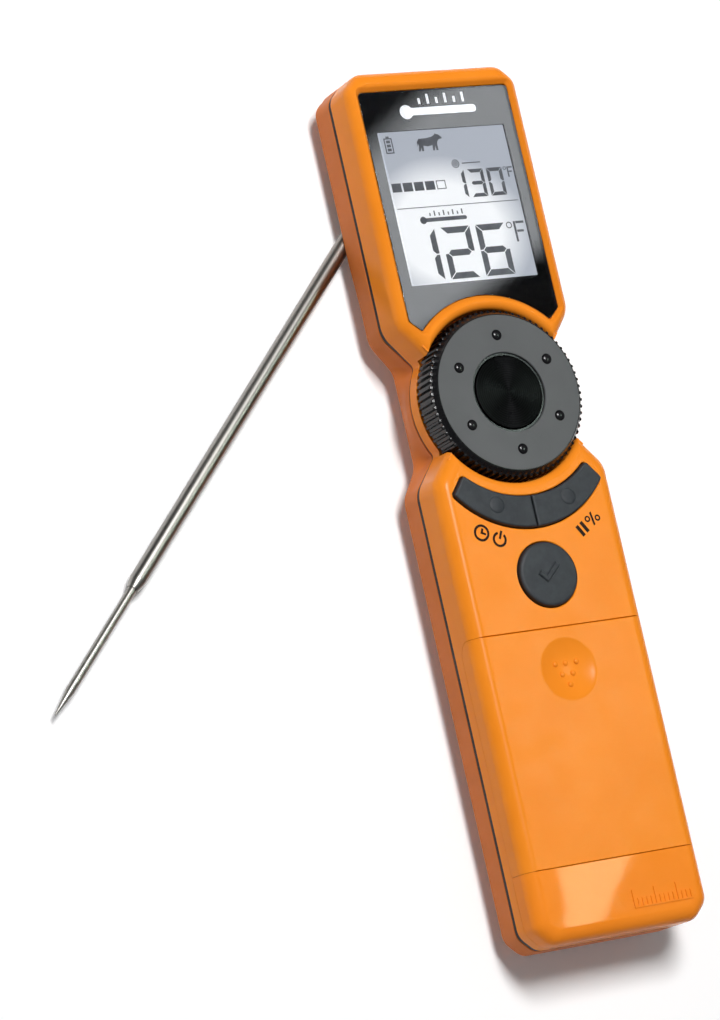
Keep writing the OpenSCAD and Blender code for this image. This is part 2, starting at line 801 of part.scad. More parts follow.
module contact_plate(x0, x1, y) {
    block([x0 - plate_half, y, cell_z - plate_half],
        [x1 + plate_half, y + plate_t - run, cell_z + plate_half]);
}

module battery_contacts() color(steel) {
    for (x = cell_x) {
        contact_plate(x, x, -bay_y - plate_t + run / 2);
        block([x - tab_w / 2, -bay_y - plate_t + run / 2, board_z],
            [x + tab_w / 2, -bulkhead_y + 2, board_z + tab_t]);
    }
    contact_plate(cell_x[0], cell_x[1], -bay_y - bay_l + run / 2);
}

module case_screws() color(steel) for (p = screw_at) translate([p.x, p.y, 0]) difference() {
    union() {
        translate([0, 0, head_low]) cylinder(h = head_t - press, r = screw_head_r);
        translate([0, 0, head_low]) cylinder(h = screw_top - head_low, r = screw_r);
    }
    for (a = [0, 90]) rotate(a) block([-1.2, -0.2, head_low - cut], [1.2, 0.2, head_low + 0.7]);
}

module at_pivot() {
    translate([pivot_x, pivot_y, 0]) children();
}

// Along the probe, from the hinge axis to the point
module at_probe() {
    translate([pivot_x, pivot_y, probe_z]) rotate([0, 0, -open_angle]) rotate([90, 0, 0]) children();
}

module hub_washer() color(steel) at_pivot() translate([0, 0, rabbet_top]) difference() {
    cylinder(h = washer_t, r = spigot_r + 2.2);
    translate([0, 0, -cut]) cylinder(h = far, r = spigot_r + slip);
}

module sensor_lead() color("red") at_pivot() translate([0, 0, rabbet_top - 1])
    cylinder(h = board_low - rabbet_top + 1, r = 0.45);

module probe_hub() color(slate) difference() {
    at_pivot() difference() {
        union() {
            translate([0, 0, hub_low]) cylinder(h = hub_top - hub_low, r = hub_r);
            translate([0, 0, hub_low]) cylinder(h = spigot_top - hub_low, r = spigot_r);
        }
        translate([0, 0, hub_low - cut]) cylinder(h = cap_plug_t + cut, r = cap_plug_r + press);
        translate([0, 0, hub_low]) cylinder(h = far, r = wire_bore_r);
        translate([0, 0, clip_z - run]) difference() {
            cylinder(h = clip_t + 2 * run, r = spigot_r + cut);
            translate([0, 0, -cut]) cylinder(h = far, r = clip_groove_r);
        }
        translate([0, 0, seal_z]) rotate_extrude() translate([spigot_r - 2 * seal_wire_r, -seal_wire_r - run])
            square([far, 2 * (seal_wire_r + run)]);
    }
    at_probe() cylinder(h = far, r = probe_r + press);
}

module hub_cap() color(orange) at_pivot() translate([0, 0, hub_low - slip])
    cylinder(h = cap_plug_t, r = cap_plug_r);

module hub_seal() color(black) at_pivot() translate([0, 0, seal_z])
    rotate_extrude() translate([spigot_r - seal_wire_r, 0]) circle(seal_wire_r - press);

module hub_clip() color(steel) at_pivot() translate([0, 0, clip_z]) difference() {
    cylinder(h = clip_t, r = spigot_r + 1.7);
    translate([0, 0, -cut]) cylinder(h = far, r = clip_groove_r + press);
    block([0, -1.4, -cut], [far, 1.4, far]);
}

module probe_tube() color(steel) at_probe() difference() {
    union() {
        translate([0, 0, tube_start]) cylinder(h = step_at - cone_l - tube_start, r = probe_r);
        translate([0, 0, step_at - cone_l]) cylinder(h = cone_l, r1 = probe_r, r2 = needle_r + 0.2);
    }
    translate([0, 0, -cut]) cylinder(h = step_at - cone_l - 3 + cut, r = tube_bore_r);
    cylinder(h = far, r = needle_r + press);
}

needle_start = step_at - cone_l - 3 - collar_l;
needle_bore_r = 0.5;
bead_at = probe_l - point_l - 3;

module probe_needle() color(steel) at_probe() difference() {
    union() {
        translate([0, 0, needle_start]) cylinder(h = collar_l - press, r = tube_bore_r - press);
        translate([0, 0, needle_start]) cylinder(h = probe_l - point_l - needle_start, r = needle_r);
        translate([0, 0, probe_l - point_l]) cylinder(h = point_l, r1 = needle_r, r2 = 0.12);
    }
    translate([0, 0, needle_start - cut]) cylinder(h = bead_at + 1 - needle_start + cut, r = needle_bore_r);
}

bead_r = 0.42;

module sensor_bead() color(black) at_probe() translate([0, 0, bead_at]) sphere(bead_r);

module probe_lead() color("red") at_probe() translate([0, 0, tube_start])
    cylinder(h = bead_at - bead_r - tube_start, r = 0.3);

// Dial: knurled knob, face plate, rivets and cap
knob_low = well_z + free;
knurl_top = body_t + knurl_rise;
face_z = body_t + face_rise;
plate_thick = 1.2;
rib = 360 / knurl_n;
knurl_root = knurl_r - knurl_depth;
bevel_step = 0.1;
bevel_r = knurl_root - bevel_step;
rib_shape = [[-0.5, 0], [-0.3, 0], [-0.18, 0.8], [-0.08, 1], [0.08, 1], [0.18, 0.8], [0.3, 0]];
knurl_plan = [for (i = [0 : knurl_n - 1]) each [for (p = rib_shape)
    let (a = (i + p[0]) * rib, r = knurl_root + knurl_depth * p[1]) r * [cos(a), sin(a)]]];
ring_w = 0.45;
ring_r = cap_r + ring_w;
cap_seat = 1.9;
cap_step = 0.25;
cap_t = 0.4;
cap_bevel = 0.3;
rim_w = 0.15;
rivet_l = 2.2;
shank_r = rivet_r - cap_step;

module dial_knob() color(black) difference() {
    union() {
        translate([0, 0, knob_low]) linear_extrude(knurl_top - knob_low) polygon(knurl_plan);
        translate([0, 0, knurl_top]) cylinder(h = face_z - knurl_top, r1 = bevel_r, r2 = face_r + rim_w);
    }
    translate([0, 0, face_z - plate_thick]) cylinder(h = far, r = face_r + press);
    translate([0, 0, face_z - cap_seat]) cylinder(h = far, r = ring_r + press);
    translate([0, 0, knob_low - cut])
        cylinder(h = face_z - cap_seat - 1 - knob_low + cut, r = shaft_r + press);
    for (i = [0 : rivet_n - 1]) rotate(90 + i * 360 / rivet_n)
        translate([rivet_circle_r, 0, face_z - rivet_l]) cylinder(h = far, r = shank_r + press);
}

module dial_face() color(grey) difference() {
    translate([0, 0, face_z - plate_thick + press]) cylinder(h = plate_thick - press, r = face_r);
    translate([0, 0, face_z - plate_thick - cut]) cylinder(h = far, r = ring_r + press);
    for (i = [0 : rivet_n - 1]) rotate(90 + i * 360 / rivet_n) translate([rivet_circle_r, 0, 0])
        cylinder(h = far, r = shank_r + press);
}

rivet_rise = 0.5;

module dial_rivets() color(black) for (i = [0 : rivet_n - 1])
    rotate(90 + i * 360 / rivet_n) translate([rivet_circle_r, 0, face_z]) {
        ball = (rivet_r ^ 2 + rivet_rise ^ 2) / (2 * rivet_rise);
        translate([0, 0, press - rivet_l]) cylinder(h = rivet_l, r = shank_r);
        intersection() {
            translate([0, 0, rivet_rise - ball]) sphere(ball);
            translate([0, 0, press]) cylinder(h = 1, r = rivet_r);
        }
    }

module dial_ring() color(grey) difference() {
    translate([0, 0, face_z - cap_seat + press]) cylinder(h = cap_seat - ring_w, r = ring_r);
    cylinder(h = far, r = cap_r - cap_step + press);
}

module dial_cap() color(black) {
    translate([0, 0, face_z - cap_seat + press]) cylinder(h = cap_seat - cap_t, r = cap_r - cap_step);
    translate([0, 0, face_z - cap_t]) cylinder(h = cap_bevel, r1 = cap_r, r2 = cap_r - cap_bevel);
}

module encoder_shaft() color(steel) {
    low = board_low - encoder_h + 0.7;
    translate([0, 0, low]) cylinder(h = face_z - cap_seat - 1.1 - low, r = shaft_r);
}

module left_key() color(slate) mirror([1, 0, 0]) arc_key();
module left_plunger() color("white") plunger(switch_at[0]);
module right_key() color(slate) arc_key();
module right_plunger() color("white") plunger(switch_at[1]);

module enter_key() color(slate) translate([0, -enter_y, flange_z]) {
    edge = 0.5;
    high = body_t + key_rise - flange_z;
    cylinder(h = flange_t, r = enter_r + flange_w);
    cylinder(h = high - edge, r = enter_r);
    translate([0, 0, high - edge]) cylinder(h = edge, r1 = enter_r, r2 = enter_r - edge);
}

module enter_plunger() color("white") plunger(switch_at[2]);

lap_l = 4;
lap_x = hw - cover_side - 2;

// Lap joint: the end cap's tongue lies in the lower half of the cover's plate
module lap(g) {
    block([-lap_x - g, -cover_split_y - cut, 0],
        [lap_x + g, -cover_split_y + lap_l + g, body_t - cover_t / 2 + g]);
}

module battery_cover() color(orange) {
    difference() {
        cover_form();
        block([-far, -far, 0], [far, -cover_split_y + run, far]);
        lap(run);
    }
    for (p = dot_at) {
        away = norm([p.x, p.y - dimple_y]);
        translate([p.x, p.y, dimple_mid - sqrt(dimple_ball ^ 2 - away ^ 2) - dot_r / 3]) sphere(dot_r);
    }
}

module cover_end_cap() color(orange) intersection() {
    cover_form();
    union() {
        block([-far, -far, 0], [far, -cover_split_y - run, far]);
        lap(0);
    }
}

front_shell();
rear_shell();
body_gasket();
display_lens();
lcd_frame();
lcd_panel();
backlight_panel();
main_board();
encoder_body();
encoder_bush();
dial_seal();
key_switches();
buzzer();
battery_tray();
battery_left();
battery_right();
battery_springs();
battery_contacts();
case_screws();
hub_washer();
sensor_lead();
probe_hub();
hub_cap();
hub_seal();
hub_clip();
probe_tube();
probe_needle();
sensor_bead();
probe_lead();
dial_knob();
dial_face();
dial_rivets();
dial_ring();
dial_cap();
encoder_shaft();
left_key();
left_plunger();
right_key();
right_plunger();
enter_key();
enter_plunger();
battery_cover();
cover_end_cap();
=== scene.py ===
"""Looks of the folding-probe thermometer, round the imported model. Shapes are in millimetres until made."""
import json
import math

import bmesh
import bpy
from mathutils import Matrix, Vector


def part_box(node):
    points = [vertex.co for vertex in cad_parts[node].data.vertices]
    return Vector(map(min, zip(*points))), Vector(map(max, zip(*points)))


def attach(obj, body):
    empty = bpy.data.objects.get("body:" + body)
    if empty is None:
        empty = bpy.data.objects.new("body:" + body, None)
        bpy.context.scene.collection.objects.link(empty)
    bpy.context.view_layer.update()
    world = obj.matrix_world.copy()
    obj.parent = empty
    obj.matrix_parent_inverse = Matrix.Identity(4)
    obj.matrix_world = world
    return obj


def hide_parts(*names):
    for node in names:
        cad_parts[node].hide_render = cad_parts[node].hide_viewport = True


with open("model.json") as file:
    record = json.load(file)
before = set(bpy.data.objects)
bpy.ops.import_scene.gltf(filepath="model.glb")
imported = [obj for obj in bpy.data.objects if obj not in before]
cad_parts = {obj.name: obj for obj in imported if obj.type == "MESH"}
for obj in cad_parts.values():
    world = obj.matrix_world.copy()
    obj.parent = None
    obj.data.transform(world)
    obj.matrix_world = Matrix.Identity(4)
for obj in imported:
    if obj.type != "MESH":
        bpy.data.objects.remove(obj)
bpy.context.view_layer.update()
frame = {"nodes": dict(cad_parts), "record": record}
MM = 0.001


def span(node):
    """Lowest and highest corner of a node in millimetres."""
    low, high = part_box(node)
    return low / MM, high / MM


# Case, read from the frame and from the drawing
HALF_W = span("rear_shell")[1].x
HEAD_END = span("rear_shell")[1].y
HANDLE_END = -span("rear_shell")[0].y
BODY_T = span("front_shell")[1].z
WAIST_W = 15.2
WAIST_Y = 9.5
NECK_W = 13.65
BULGE_R = 16.2
NECK_Y = math.sqrt(BULGE_R ** 2 - NECK_W ** 2)
SHOULDER_Y = 15.3
END_CUT = 3.2
END_R = 3.4
SHOULDER_R = 5.0
WAIST_R = 5.0
NECK_R = 1.2
FRONT_R = 2.8
BACK_R = 1.6
WALL = 1.8
LEAST_R = 0.3
EDGE = 0.15
SHARP = math.radians(32)
ARC_STEPS = 8
FILLET_STEPS = 8
BULGE_STEPS = 16
BLEND_STEPS = 8

# Seam
SEAM_Z = BODY_T - 8.3
SEAM_H = 0.95
SEAM_HAIR = 0.3
SEAL_INSET = 0.12
SEAL_W = 1.4
SEAL_ROOM = 0.01

# Lens and display
LENS_TOP = span("display_lens")[1].y
LENS_W = span("display_lens")[1].x
LENS_LOW = 16.1
LENS_TIP = (LENS_W - 2.2, LENS_LOW - 2)
LENS_ARC_R = 19.9
LENS_CORNERS = (0, 0.5, 0.9, 0.9, 0.5, 0)
LENS_Z = span("display_lens")[1].z
LENS_BASE = span("display_lens")[0].z
WINDOW_W = 28.0
WINDOW_Y = 22.95
WINDOW_H = 30.5
LCD_Z = span("lcd_panel")[1].z
MASK_T = 0.045
FRAME_ROOM = 0.15
BRIGHTEST = (-3.0, 33.0)

# Dial
FACE_Z = span("dial_face")[1].z
FACE_R = span("dial_face")[1].x
KNURL_R = span("dial_knob")[1].x
KNURL_N = 76
KNURL_DEPTH = 0.5
KNURL_TOP = BODY_T + 0.4
BEVEL_R = 15.92
KNOB_LOW = span("dial_knob")[0].z
WELL_R = 17.0
WELL_Z = BODY_T - 5.4
CUP_R = 18.6
CUP_Z = WELL_Z - 1.6
RING_R = span("dial_ring")[1].x
CAP_R = span("dial_cap")[1].x
CAP_SEAT = 1.9
PLATE_SEAT = 1.2
SHAFT_R = span("encoder_shaft")[1].x
BUSH_R = SHAFT_R + 1.1
BORE_R = SHAFT_R + 0.02
BORE_TOP = BODY_T - 1.4
RIVET_N = 6
RIVET_CIRCLE_R = 11.2
RIVET_R = 1.05
RIVET_RISE = 0.5
RIVET_LIFT = 0.02
RIVET_PIN_R = 0.8
RIVET_STEPS = 7

# Keys
KEY_IN_R = 20.0
KEY_OUT_R = 20.8
KEY_OUT_Y = -5.3
KEY_END_X = 13.5
KEY_SLOPE = math.radians(51)
KEY_GAP = 0.2
KEY_SPLIT = 0.12
KEY_TOP = BODY_T + 0.8
KEY_LOW = span("left_key")[0].z
KEY_CORNER = 0.6
KEY_LEAST_R = 0.1
KEY_SPLIT_R = 0.15
KEY_DOT = (7.9, -21.1)
KEY_DOT_R = 1.6
KEY_DOT_RISE = 0.26
KEY_STEPS = 14
ENTER_Y = -35.3
ENTER_R = 6.2

# Battery bay
COVER_TOP = -45.3
COVER_SPLIT = -89.6
COVER_Z = BODY_T - 5.3
COVER_T = 1.6
COVER_SIDE = 1.4
COVER_CORNER = 3.0
COVER_GAP = 0.075
BULKHEAD_Y = -44.2
DECK_Z = BODY_T - COVER_T - 0.25
DECK_T = 1.6
RAIL_INSET = 1.65
RAIL_TOP = COVER_TOP - 0.3
BAY = (span("battery_left")[0].x - 0.4, span("battery_right")[1].x + 0.3)
BAY_TOP = span("battery_tray")[1].y
BAY_LOW = span("battery_tray")[0].y
BAY_LEDGE = 0.8
LIP_REACH = 0.85
LIP_T = 1.0
LIP_LIFT = 0.15
DIMPLE_Y = -53.5
DIMPLE_R = 5.9
DIMPLE_DEPTH = 1.0
DOT_PITCH = 2.35
DOT_ROW = 2.07
DOT_TOP = 1.3
DOT_R = 0.55
DOT_RISE = 0.36

# Probe and its rabbet
PIVOT = (-11.0, 43.6)
PROBE_Z = 2.5
OPEN = math.radians(44)
PROBE_R = 1.6
NEEDLE_R = 0.9
TUBE_START = 2.4
TUBE_BORE = 1.2
STEP_AT = 95.5
CONE_L = 2.0
NEEDLE_START = 88.5
PROBE_L = 124.5
POINT_L = 5.5
RABBET_Z = 5.0
RABBET_X = -8.6
RABBET_WALL = 1.4
RABBET_LIP = 0.6
LIP_Y = 31.5
LIP_SLOPE = 9.0
END_STEP = 1.4
POCKET_R = 5.5
SPIGOT_R = 2.65
SCREWS = [(HALF_W - 6.5, HEAD_END - 5.2), (HALF_W - 6.2, 0.8 - SHOULDER_Y), (HALF_W - 8, BAY_LOW - 3.4)]
SCREW_HEAD_R = 2.15
SCREW_HEAD_TOP = 6.5
SCREW_R = 1.25
POST_R = 3.2
POST_TOP = BODY_T - 8.7
HOLE_TOP = 12.0
LEDGE_T = 1.0
LEDGE_Y = 12.0
INSIDE_Z = SEAM_Z + 0.6

# Cutters: how far they reach beyond the case, and the least distance between two faces or points
OVER = BODY_T + 1.5
FAR = 150.0
HAIR = 0.001

# Distances within which points are welded, in the meshes made here and in the frame's
WELD = 0.002
NODE_WELD = 0.0005


# Plane geometry


def turn(a, b, c):
    """Left turn 1 or right turn -1 at b."""
    u, v = b - a, c - b
    return math.copysign(1, u.x * v.y - u.y * v.x)


def left_normal(a, b):
    along = (b - a).normalized()
    return Vector((-along.y, along.x))


def drawn_in(points, d):
    """Polygon, drawn anticlockwise, with every edge moved inwards by d."""
    moved = []
    for i, p in enumerate(points):
        n1 = left_normal(points[i - 1], p)
        n2 = left_normal(p, points[(i + 1) % len(points)])
        moved.append(p + (n1 + n2) * (d / (1 + n1.dot(n2))))
    return moved


def corner_arc(a, b, c, r, steps):
    """Arc of radius r in the corner b between a and c."""
    u, v = (a - b).normalized(), (c - b).normalized()
    half = math.acos(max(-1, min(1, u.dot(v)))) / 2
    mid = b + (u + v).normalized() * (r / math.sin(half))
    start = b + u * (r / math.tan(half)) - mid
    angle = math.atan2(start.y, start.x)
    sweep = turn(a, b, c) * (math.pi - 2 * half)
    return arc(mid, r, angle, angle + sweep, steps)


def rounded(points, radii, steps=4):
    """Polygon with an arc at each corner that has a radius."""
    ring = []
    for i, p in enumerate(points):
        if radii[i]:
            ring += corner_arc(points[i - 1], p, points[(i + 1) % len(points)], radii[i], steps)
        else:
            ring.append(p)
    return ring


def arc(centre, r, start, end, steps):
    """Points on a circle from one angle to another."""
    angles = [start + (end - start) * k / steps for k in range(steps + 1)]
    return [Vector(centre) + r * Vector((math.cos(a), math.sin(a))) for a in angles]


def circle(x, y, r, steps):
    return arc((x, y), r, 0, 2 * math.pi, steps)[:-1]


def rectangle(x0, y0, x1, y1):
    return [Vector((x0, y0)), Vector((x1, y0)), Vector((x1, y1)), Vector((x0, y1))]


def half_plan(w):
    """Right half of the plan as [x, y, rounding], from the battery end to the display end.

    At the back (w 0) the waist is straight. At the seam (w 1) it is narrower and bulges under the dial.
    """
    back, seam = (WAIST_W, WAIST_Y, WAIST_R), (NECK_W, NECK_Y, NECK_R)
    x, y, r = (a + w * (b - a) for a, b in zip(back, seam))
    waist = [(x, -y, r)]
    for k in range(1, BULGE_STEPS):
        side = NECK_Y * (2 * k / BULGE_STEPS - 1)
        waist.append((WAIST_W + w * (math.sqrt(BULGE_R ** 2 - side ** 2) - WAIST_W), side, 0))
    waist.append((x, y, r))
    handle = [(HALF_W - END_CUT, -HANDLE_END, END_R), (HALF_W, END_CUT - HANDLE_END, END_R),
              (HALF_W, -SHOULDER_Y, SHOULDER_R)]
    head = [(HALF_W, SHOULDER_Y, SHOULDER_R), (HALF_W, HEAD_END - END_CUT, END_R),
            (HALF_W - END_CUT, HEAD_END, END_R)]
    return handle + waist + head


def outline(inset, w=1.0):
    """Rounded plan outline, moved inwards."""
    half = half_plan(w)
    plan = half + [(-x, y, r) for x, y, r in reversed(half)]
    corners = drawn_in([Vector((x, y)) for x, y, r in plan], inset)
    radii = []
    for i, p in enumerate(corners):
        bend = turn(corners[i - 1], p, corners[(i + 1) % len(corners)])
        r = plan[i][2]
        radii.append(max(LEAST_R, r - bend * inset) if r else 0)
    return rounded(corners, radii, ARC_STEPS)


def clipped(points, keep, edge):
    """Part of a polygon on one side of a level line y = edge: keep 1 is above, -1 is below."""
    ring = []
    for i, p in enumerate(points):
        q = points[(i + 1) % len(points)]
        if keep * (p.y - edge) >= 0:
            ring.append(p)
        if (p.y - edge) * (q.y - edge) < 0:
            ring.append(p.lerp(q, (edge - p.y) / (q.y - p.y)))
    return ring


def distinct(points):
    """Polygon without points that repeat."""
    return [p for i, p in enumerate(points) if (p - points[i - 1]).length > HAIR]


# Meshes


def added(name, data):
    """New object in the scene."""
    piece = bpy.data.objects.new(name, data)
    bpy.context.scene.collection.objects.link(piece)
    return piece


def mesh_object(name, bm):
    """New object from an edited mesh, which is used up."""
    mesh = bpy.data.meshes.new(name)
    bm.to_mesh(mesh)
    bm.free()
    return added(name, mesh)


def make(name, points, faces):
    """Mesh object from points in millimetres, with its faces turned outwards."""
    bm = bmesh.new()
    verts = [bm.verts.new(Vector(p) * MM) for p in points]
    for face in faces:
        bm.faces.new([verts[i] for i in face])
    bmesh.ops.recalc_face_normals(bm, faces=bm.faces)
    return mesh_object(name, bm)


def between(n, a, b):
    """Faces between two rings of n points, whose first points have the numbers a and b."""
    return [[a + i, a + (i + 1) % n, b + (i + 1) % n, b + i] for i in range(n)]


def stack(name, rings):
    """Closed solid through rings of equal length, with a flat face at each end."""
    n = len(rings[0])
    last = (len(rings) - 1) * n
    faces = [list(range(n)), [last + i for i in range(n)]]
    for a in range(0, last, n):
        faces += between(n, a, a + n)
    return make(name, [p for ring in rings for p in ring], faces)


def band(name, rings):
    """Closed band through rings of equal length, whose last ring meets the first."""
    n = len(rings[0])
    faces = []
    for k in range(len(rings)):
        faces += between(n, k * n, (k + 1) % len(rings) * n)
    return make(name, [p for ring in rings for p in ring], faces)


def closed_ring(name, profile, segments=128):
    """Ring turned about Z from a closed [radius, height] profile."""
    angles = [2 * math.pi * k / segments for k in range(segments)]
    return band(name, [[(r * math.cos(a), r * math.sin(a), z) for r, z in profile] for a in angles])


def level(points, z):
    return [(p.x, p.y, z) for p in points]


def prism(name, points, low, high):
    return stack(name, [level(points, low), level(points, high)])


def block(name, low, high):
    return prism(name, rectangle(low[0], low[1], high[0], high[1]), low[2], high[2])


def both_sides(name, inner, outer, low, high):
    """Like blocks right and left of the middle, between two distances in X and two [y, z] corners."""
    return [block(name, (min(s * inner, s * outer), *low), (max(s * inner, s * outer), *high))
            for s in (1, -1)]


def lathe(name, profile, segments=96, place=Matrix.Identity(4)):
    """Solid turned about Z from [radius, height] points, then placed."""
    rings = []
    for r, z in profile:
        rings.append([place @ Vector((p.x, p.y, z)) for p in circle(0, 0, r, segments)])
    return stack(name, rings)


def along_x(name, profile, x0, x1):
    """A [y, z] shape drawn out along X."""
    return stack(name, [[(x, y, z) for y, z in profile] for x in (x0, x1)])


def at(x, y, z=0):
    return Matrix.Translation((x, y, z))


def joined(name, pieces):
    """One object from several."""
    bm = bmesh.new()
    for piece in pieces:
        bm.from_mesh(piece.data)
        bpy.data.objects.remove(piece)
    return mesh_object(name, bm)


def boolean(piece, operation, tools):
    """Add the tools to a piece or cut them from it."""
    tool = joined("tool", tools)
    modifier = piece.modifiers.new("boolean", "BOOLEAN")
    modifier.operation = operation
    modifier.solver = "EXACT"
    modifier.use_self = len(tools) > 1
    modifier.object = tool
    shape = piece.evaluated_get(bpy.context.evaluated_depsgraph_get())
    mesh = bpy.data.meshes.new_from_object(shape)
    piece.modifiers.clear()
    piece.data = mesh
    bpy.data.objects.remove(tool)
    return piece


def cleaned(piece):
    """Weld what a boolean left apart."""
    bm = bmesh.new()
    bm.from_mesh(piece.data)
    bmesh.ops.remove_doubles(bm, verts=bm.verts, dist=WELD * MM)
    bmesh.ops.dissolve_degenerate(bm, edges=bm.edges, dist=WELD * MM)
    bm.to_mesh(piece.data)
    bm.free()
    return piece


def paint(piece, material):
    """Give a piece its one material and smooth faces."""
    mesh = piece.data
    mesh.materials.clear()
    mesh.materials.append(material)
    mesh.polygons.foreach_set("use_smooth", [True] * len(mesh.polygons))


def weigh_normals(piece):
    """Let large faces lead the smooth shading, with sharp edges kept."""
    weighted = piece.modifiers.new("weighted", "WEIGHTED_NORMAL")
    weighted.keep_sharp = True


def dress(piece, body, slot, material, *nodes):
    """Finish a piece: its body, its material and the nodes that it stands for. The slot is not used."""
    paint(piece, material)
    piece.data.set_sharp_from_angle(angle=SHARP)
    weigh_normals(piece)
    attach(piece, body)
    if nodes:
        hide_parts(*nodes)


# Materials


class Nodes:
    """The nodes of a world or a material, and short ways to add to them."""

    def __init__(self, owner, main):
        owner.use_nodes = True
        self.tree = owner.node_tree
        self.main = self.tree.nodes[main]

    def node(self, kind, links=(), **values):
        made = self.tree.nodes.new("ShaderNode" + kind)
        for key, value in values.items():
            setattr(made, key, value)
        for socket, source in dict(links).items():
            if isinstance(source, bpy.types.NodeSocket):
                self.tree.links.new(source, made.inputs[socket])
            else:
                made.inputs[socket].default_value = source
        return made

    def link(self, source, socket):
        self.tree.links.new(source, self.main.inputs[socket])

    def colours(self, value, first, second, start=0.35, end=0.65):
        """A value spread between two colours."""
        ramp = self.node("ValToRGB", {"Fac": value})
        for element, place, colour in zip(ramp.color_ramp.elements, (start, end), (first, second)):
            element.position = place
            element.color = (*colour, 1)
        return ramp.outputs["Color"]


class Shader(Nodes):
    """A Principled material."""

    def __init__(self, name, **values):
        self.material = bpy.data.materials.new(name)
        super().__init__(self.material, "Principled BSDF")
        for key, value in values.items():
            self.main.inputs[key.replace("_", " ")].default_value = value
        self.place = self.node("TexCoord").outputs["Object"]

    def noise(self, scale, detail=3.0, stretch=None, turned=0.0):
        """Noise with features about 1/scale metres across, stretched along turned axes if asked."""
        vector = self.place
        if stretch:
            vector = self.node("Mapping", {"Vector": vector, "Scale": stretch, "Rotation": (0, 0, turned)},
                               vector_type="TEXTURE").outputs["Vector"]
        return self.node("TexNoise", {"Vector": vector, "Scale": scale, "Detail": detail}).outputs["Fac"]

    def ramp(self, value, low, high, start=0.35, end=0.65):
        """A value spread between two numbers."""
        return self.node("MapRange", {"Value": value, "From Min": start, "From Max": end,
                                      "To Min": low, "To Max": high}).outputs["Result"]

    def bump(self, height, depth, strength):
        """Normal of a surface whose height varies by a depth in millimetres."""
        links = {"Height": height, "Distance": depth * MM, "Strength": strength}
        return self.node("Bump", links).outputs["Normal"]

    def math(self, operation, first, second):
        return self.node("Math", {0: first, 1: second}, operation=operation).outputs["Value"]

    def glow(self, colour, strength):
        return self.node("Emission", {"Color": (*colour, 1), "Strength": strength}).outputs["Emission"]

    def surface(self, source):
        """Take the look of the surface from another shader than the Principled one."""
        self.tree.links.new(source, self.tree.nodes["Material Output"].inputs["Surface"])

    def moulded(self, tint, rough, patches, grain, depth):
        """Tinted material with uneven gloss and a fine grain: patches and grain are scales of noise."""
        self.link(tint, "Base Color")
        self.link(self.ramp(self.noise(patches), *rough), "Roughness")
        self.link(self.bump(self.noise(grain, 2), depth, 0.6), "Normal")
        return self.material


def plastic(name, first, second, rough, grain=0.006, coat=0.0, shine=0.3):
    """Moulded plastic: mottled colour, uneven gloss and a fine moulded grain."""
    s = Shader(name, Coat_Weight=coat, Coat_Roughness=0.03, Specular_IOR_Level=shine)
    return s.moulded(s.colours(s.noise(90), first, second), rough, patches=260, grain=5200, depth=grain)


def rubber(name, first, second):
    """Moulded rubber with a matt grain and a little dust."""
    s = Shader(name, Specular_IOR_Level=0.35)
    tint = s.colours(s.noise(700, 6), first, second)
    return s.moulded(tint, (0.5, 0.62), patches=300, grain=6500, depth=0.01)


def metal(name, first, second, rough, stretch=(1, 1, 1), turned=0.0):
    """Metal with uneven lines, which a stretch draws out along one direction."""
    s = Shader(name, Metallic=1.0)
    lines = s.noise(900, 4, stretch, turned)
    s.link(s.colours(lines, first, second), "Base Color")
    s.link(s.ramp(lines, *rough), "Roughness")
    s.link(s.bump(lines, 0.004, 0.5), "Normal")
    return s.material


def spun_cap():
    """Black cap with fine turned rings."""
    s = Shader("spun_cap", Metallic=1.0, Anisotropic=0.8)
    rings = s.node("TexWave", {"Vector": s.place, "Scale": 700.0, "Distortion": 0.4},
                   wave_type="RINGS", rings_direction="Z").outputs["Fac"]
    s.link(s.colours(rings, (0.0035, 0.0035, 0.004), (0.007, 0.007, 0.0075), 0.0, 1.0), "Base Color")
    s.link(s.ramp(s.noise(400), 0.26, 0.34), "Roughness")
    s.link(s.bump(rings, 0.002, 0.3), "Normal")
    s.link(s.node("Tangent", direction_type="RADIAL", axis="Z").outputs["Tangent"], "Tangent")
    return s.material


def window_place(s, x, y, widened=1.0):
    """Place measured from x, y in halves of the display window, whose width may be taken larger."""
    half = (0.5 * WINDOW_W * widened, 0.5 * WINDOW_H)
    return s.node("Mapping", {"Vector": s.place, "Scale": (1 / (half[0] * MM), 1 / (half[1] * MM), 0),
                              "Location": (-x / half[0], -y / half[1], 0)}).outputs["Vector"]


def clear_glass():
    """Clear window, which reflects less over the display than over the mask round it."""
    s = Shader("clear_window", Transmission_Weight=1.0, IOR=1.49, Roughness=0.0)
    s.main.inputs["Base Color"].default_value = (0.97, 0.98, 1.0, 1)
    place = window_place(s, 0, WINDOW_Y + WINDOW_H / 2)
    size = s.node("VectorMath", {0: place}, operation="ABSOLUTE").outputs["Vector"]
    axes = s.node("SeparateXYZ", {"Vector": size})
    edge = s.math("MAXIMUM", axes.outputs["X"], axes.outputs["Y"])
    s.link(s.ramp(edge, 0.05, 0.5, 0.99, 1.0), "Specular IOR Level")
    return s.material


def lit_display():
    """Backlit display: brightest low on the left of its middle, and bluer and dimmer towards its edges."""
    s = Shader("lit_display", Roughness=0.3, Emission_Strength=1.0)
    scaled = window_place(s, *BRIGHTEST, 1.3)
    away = s.node("VectorMath", {0: scaled}, operation="LENGTH").outputs["Value"]
    tint = s.colours(away, (0.98, 0.99, 1.0), (0.42, 0.45, 0.51), 0.62, 1.34)
    s.link(tint, "Emission Color")
    s.main.inputs["Base Color"].default_value = (0.02, 0.02, 0.02, 1)
    s.link(s.bump(s.noise(4000), 0.001, 0.2), "Normal")
    return s.material


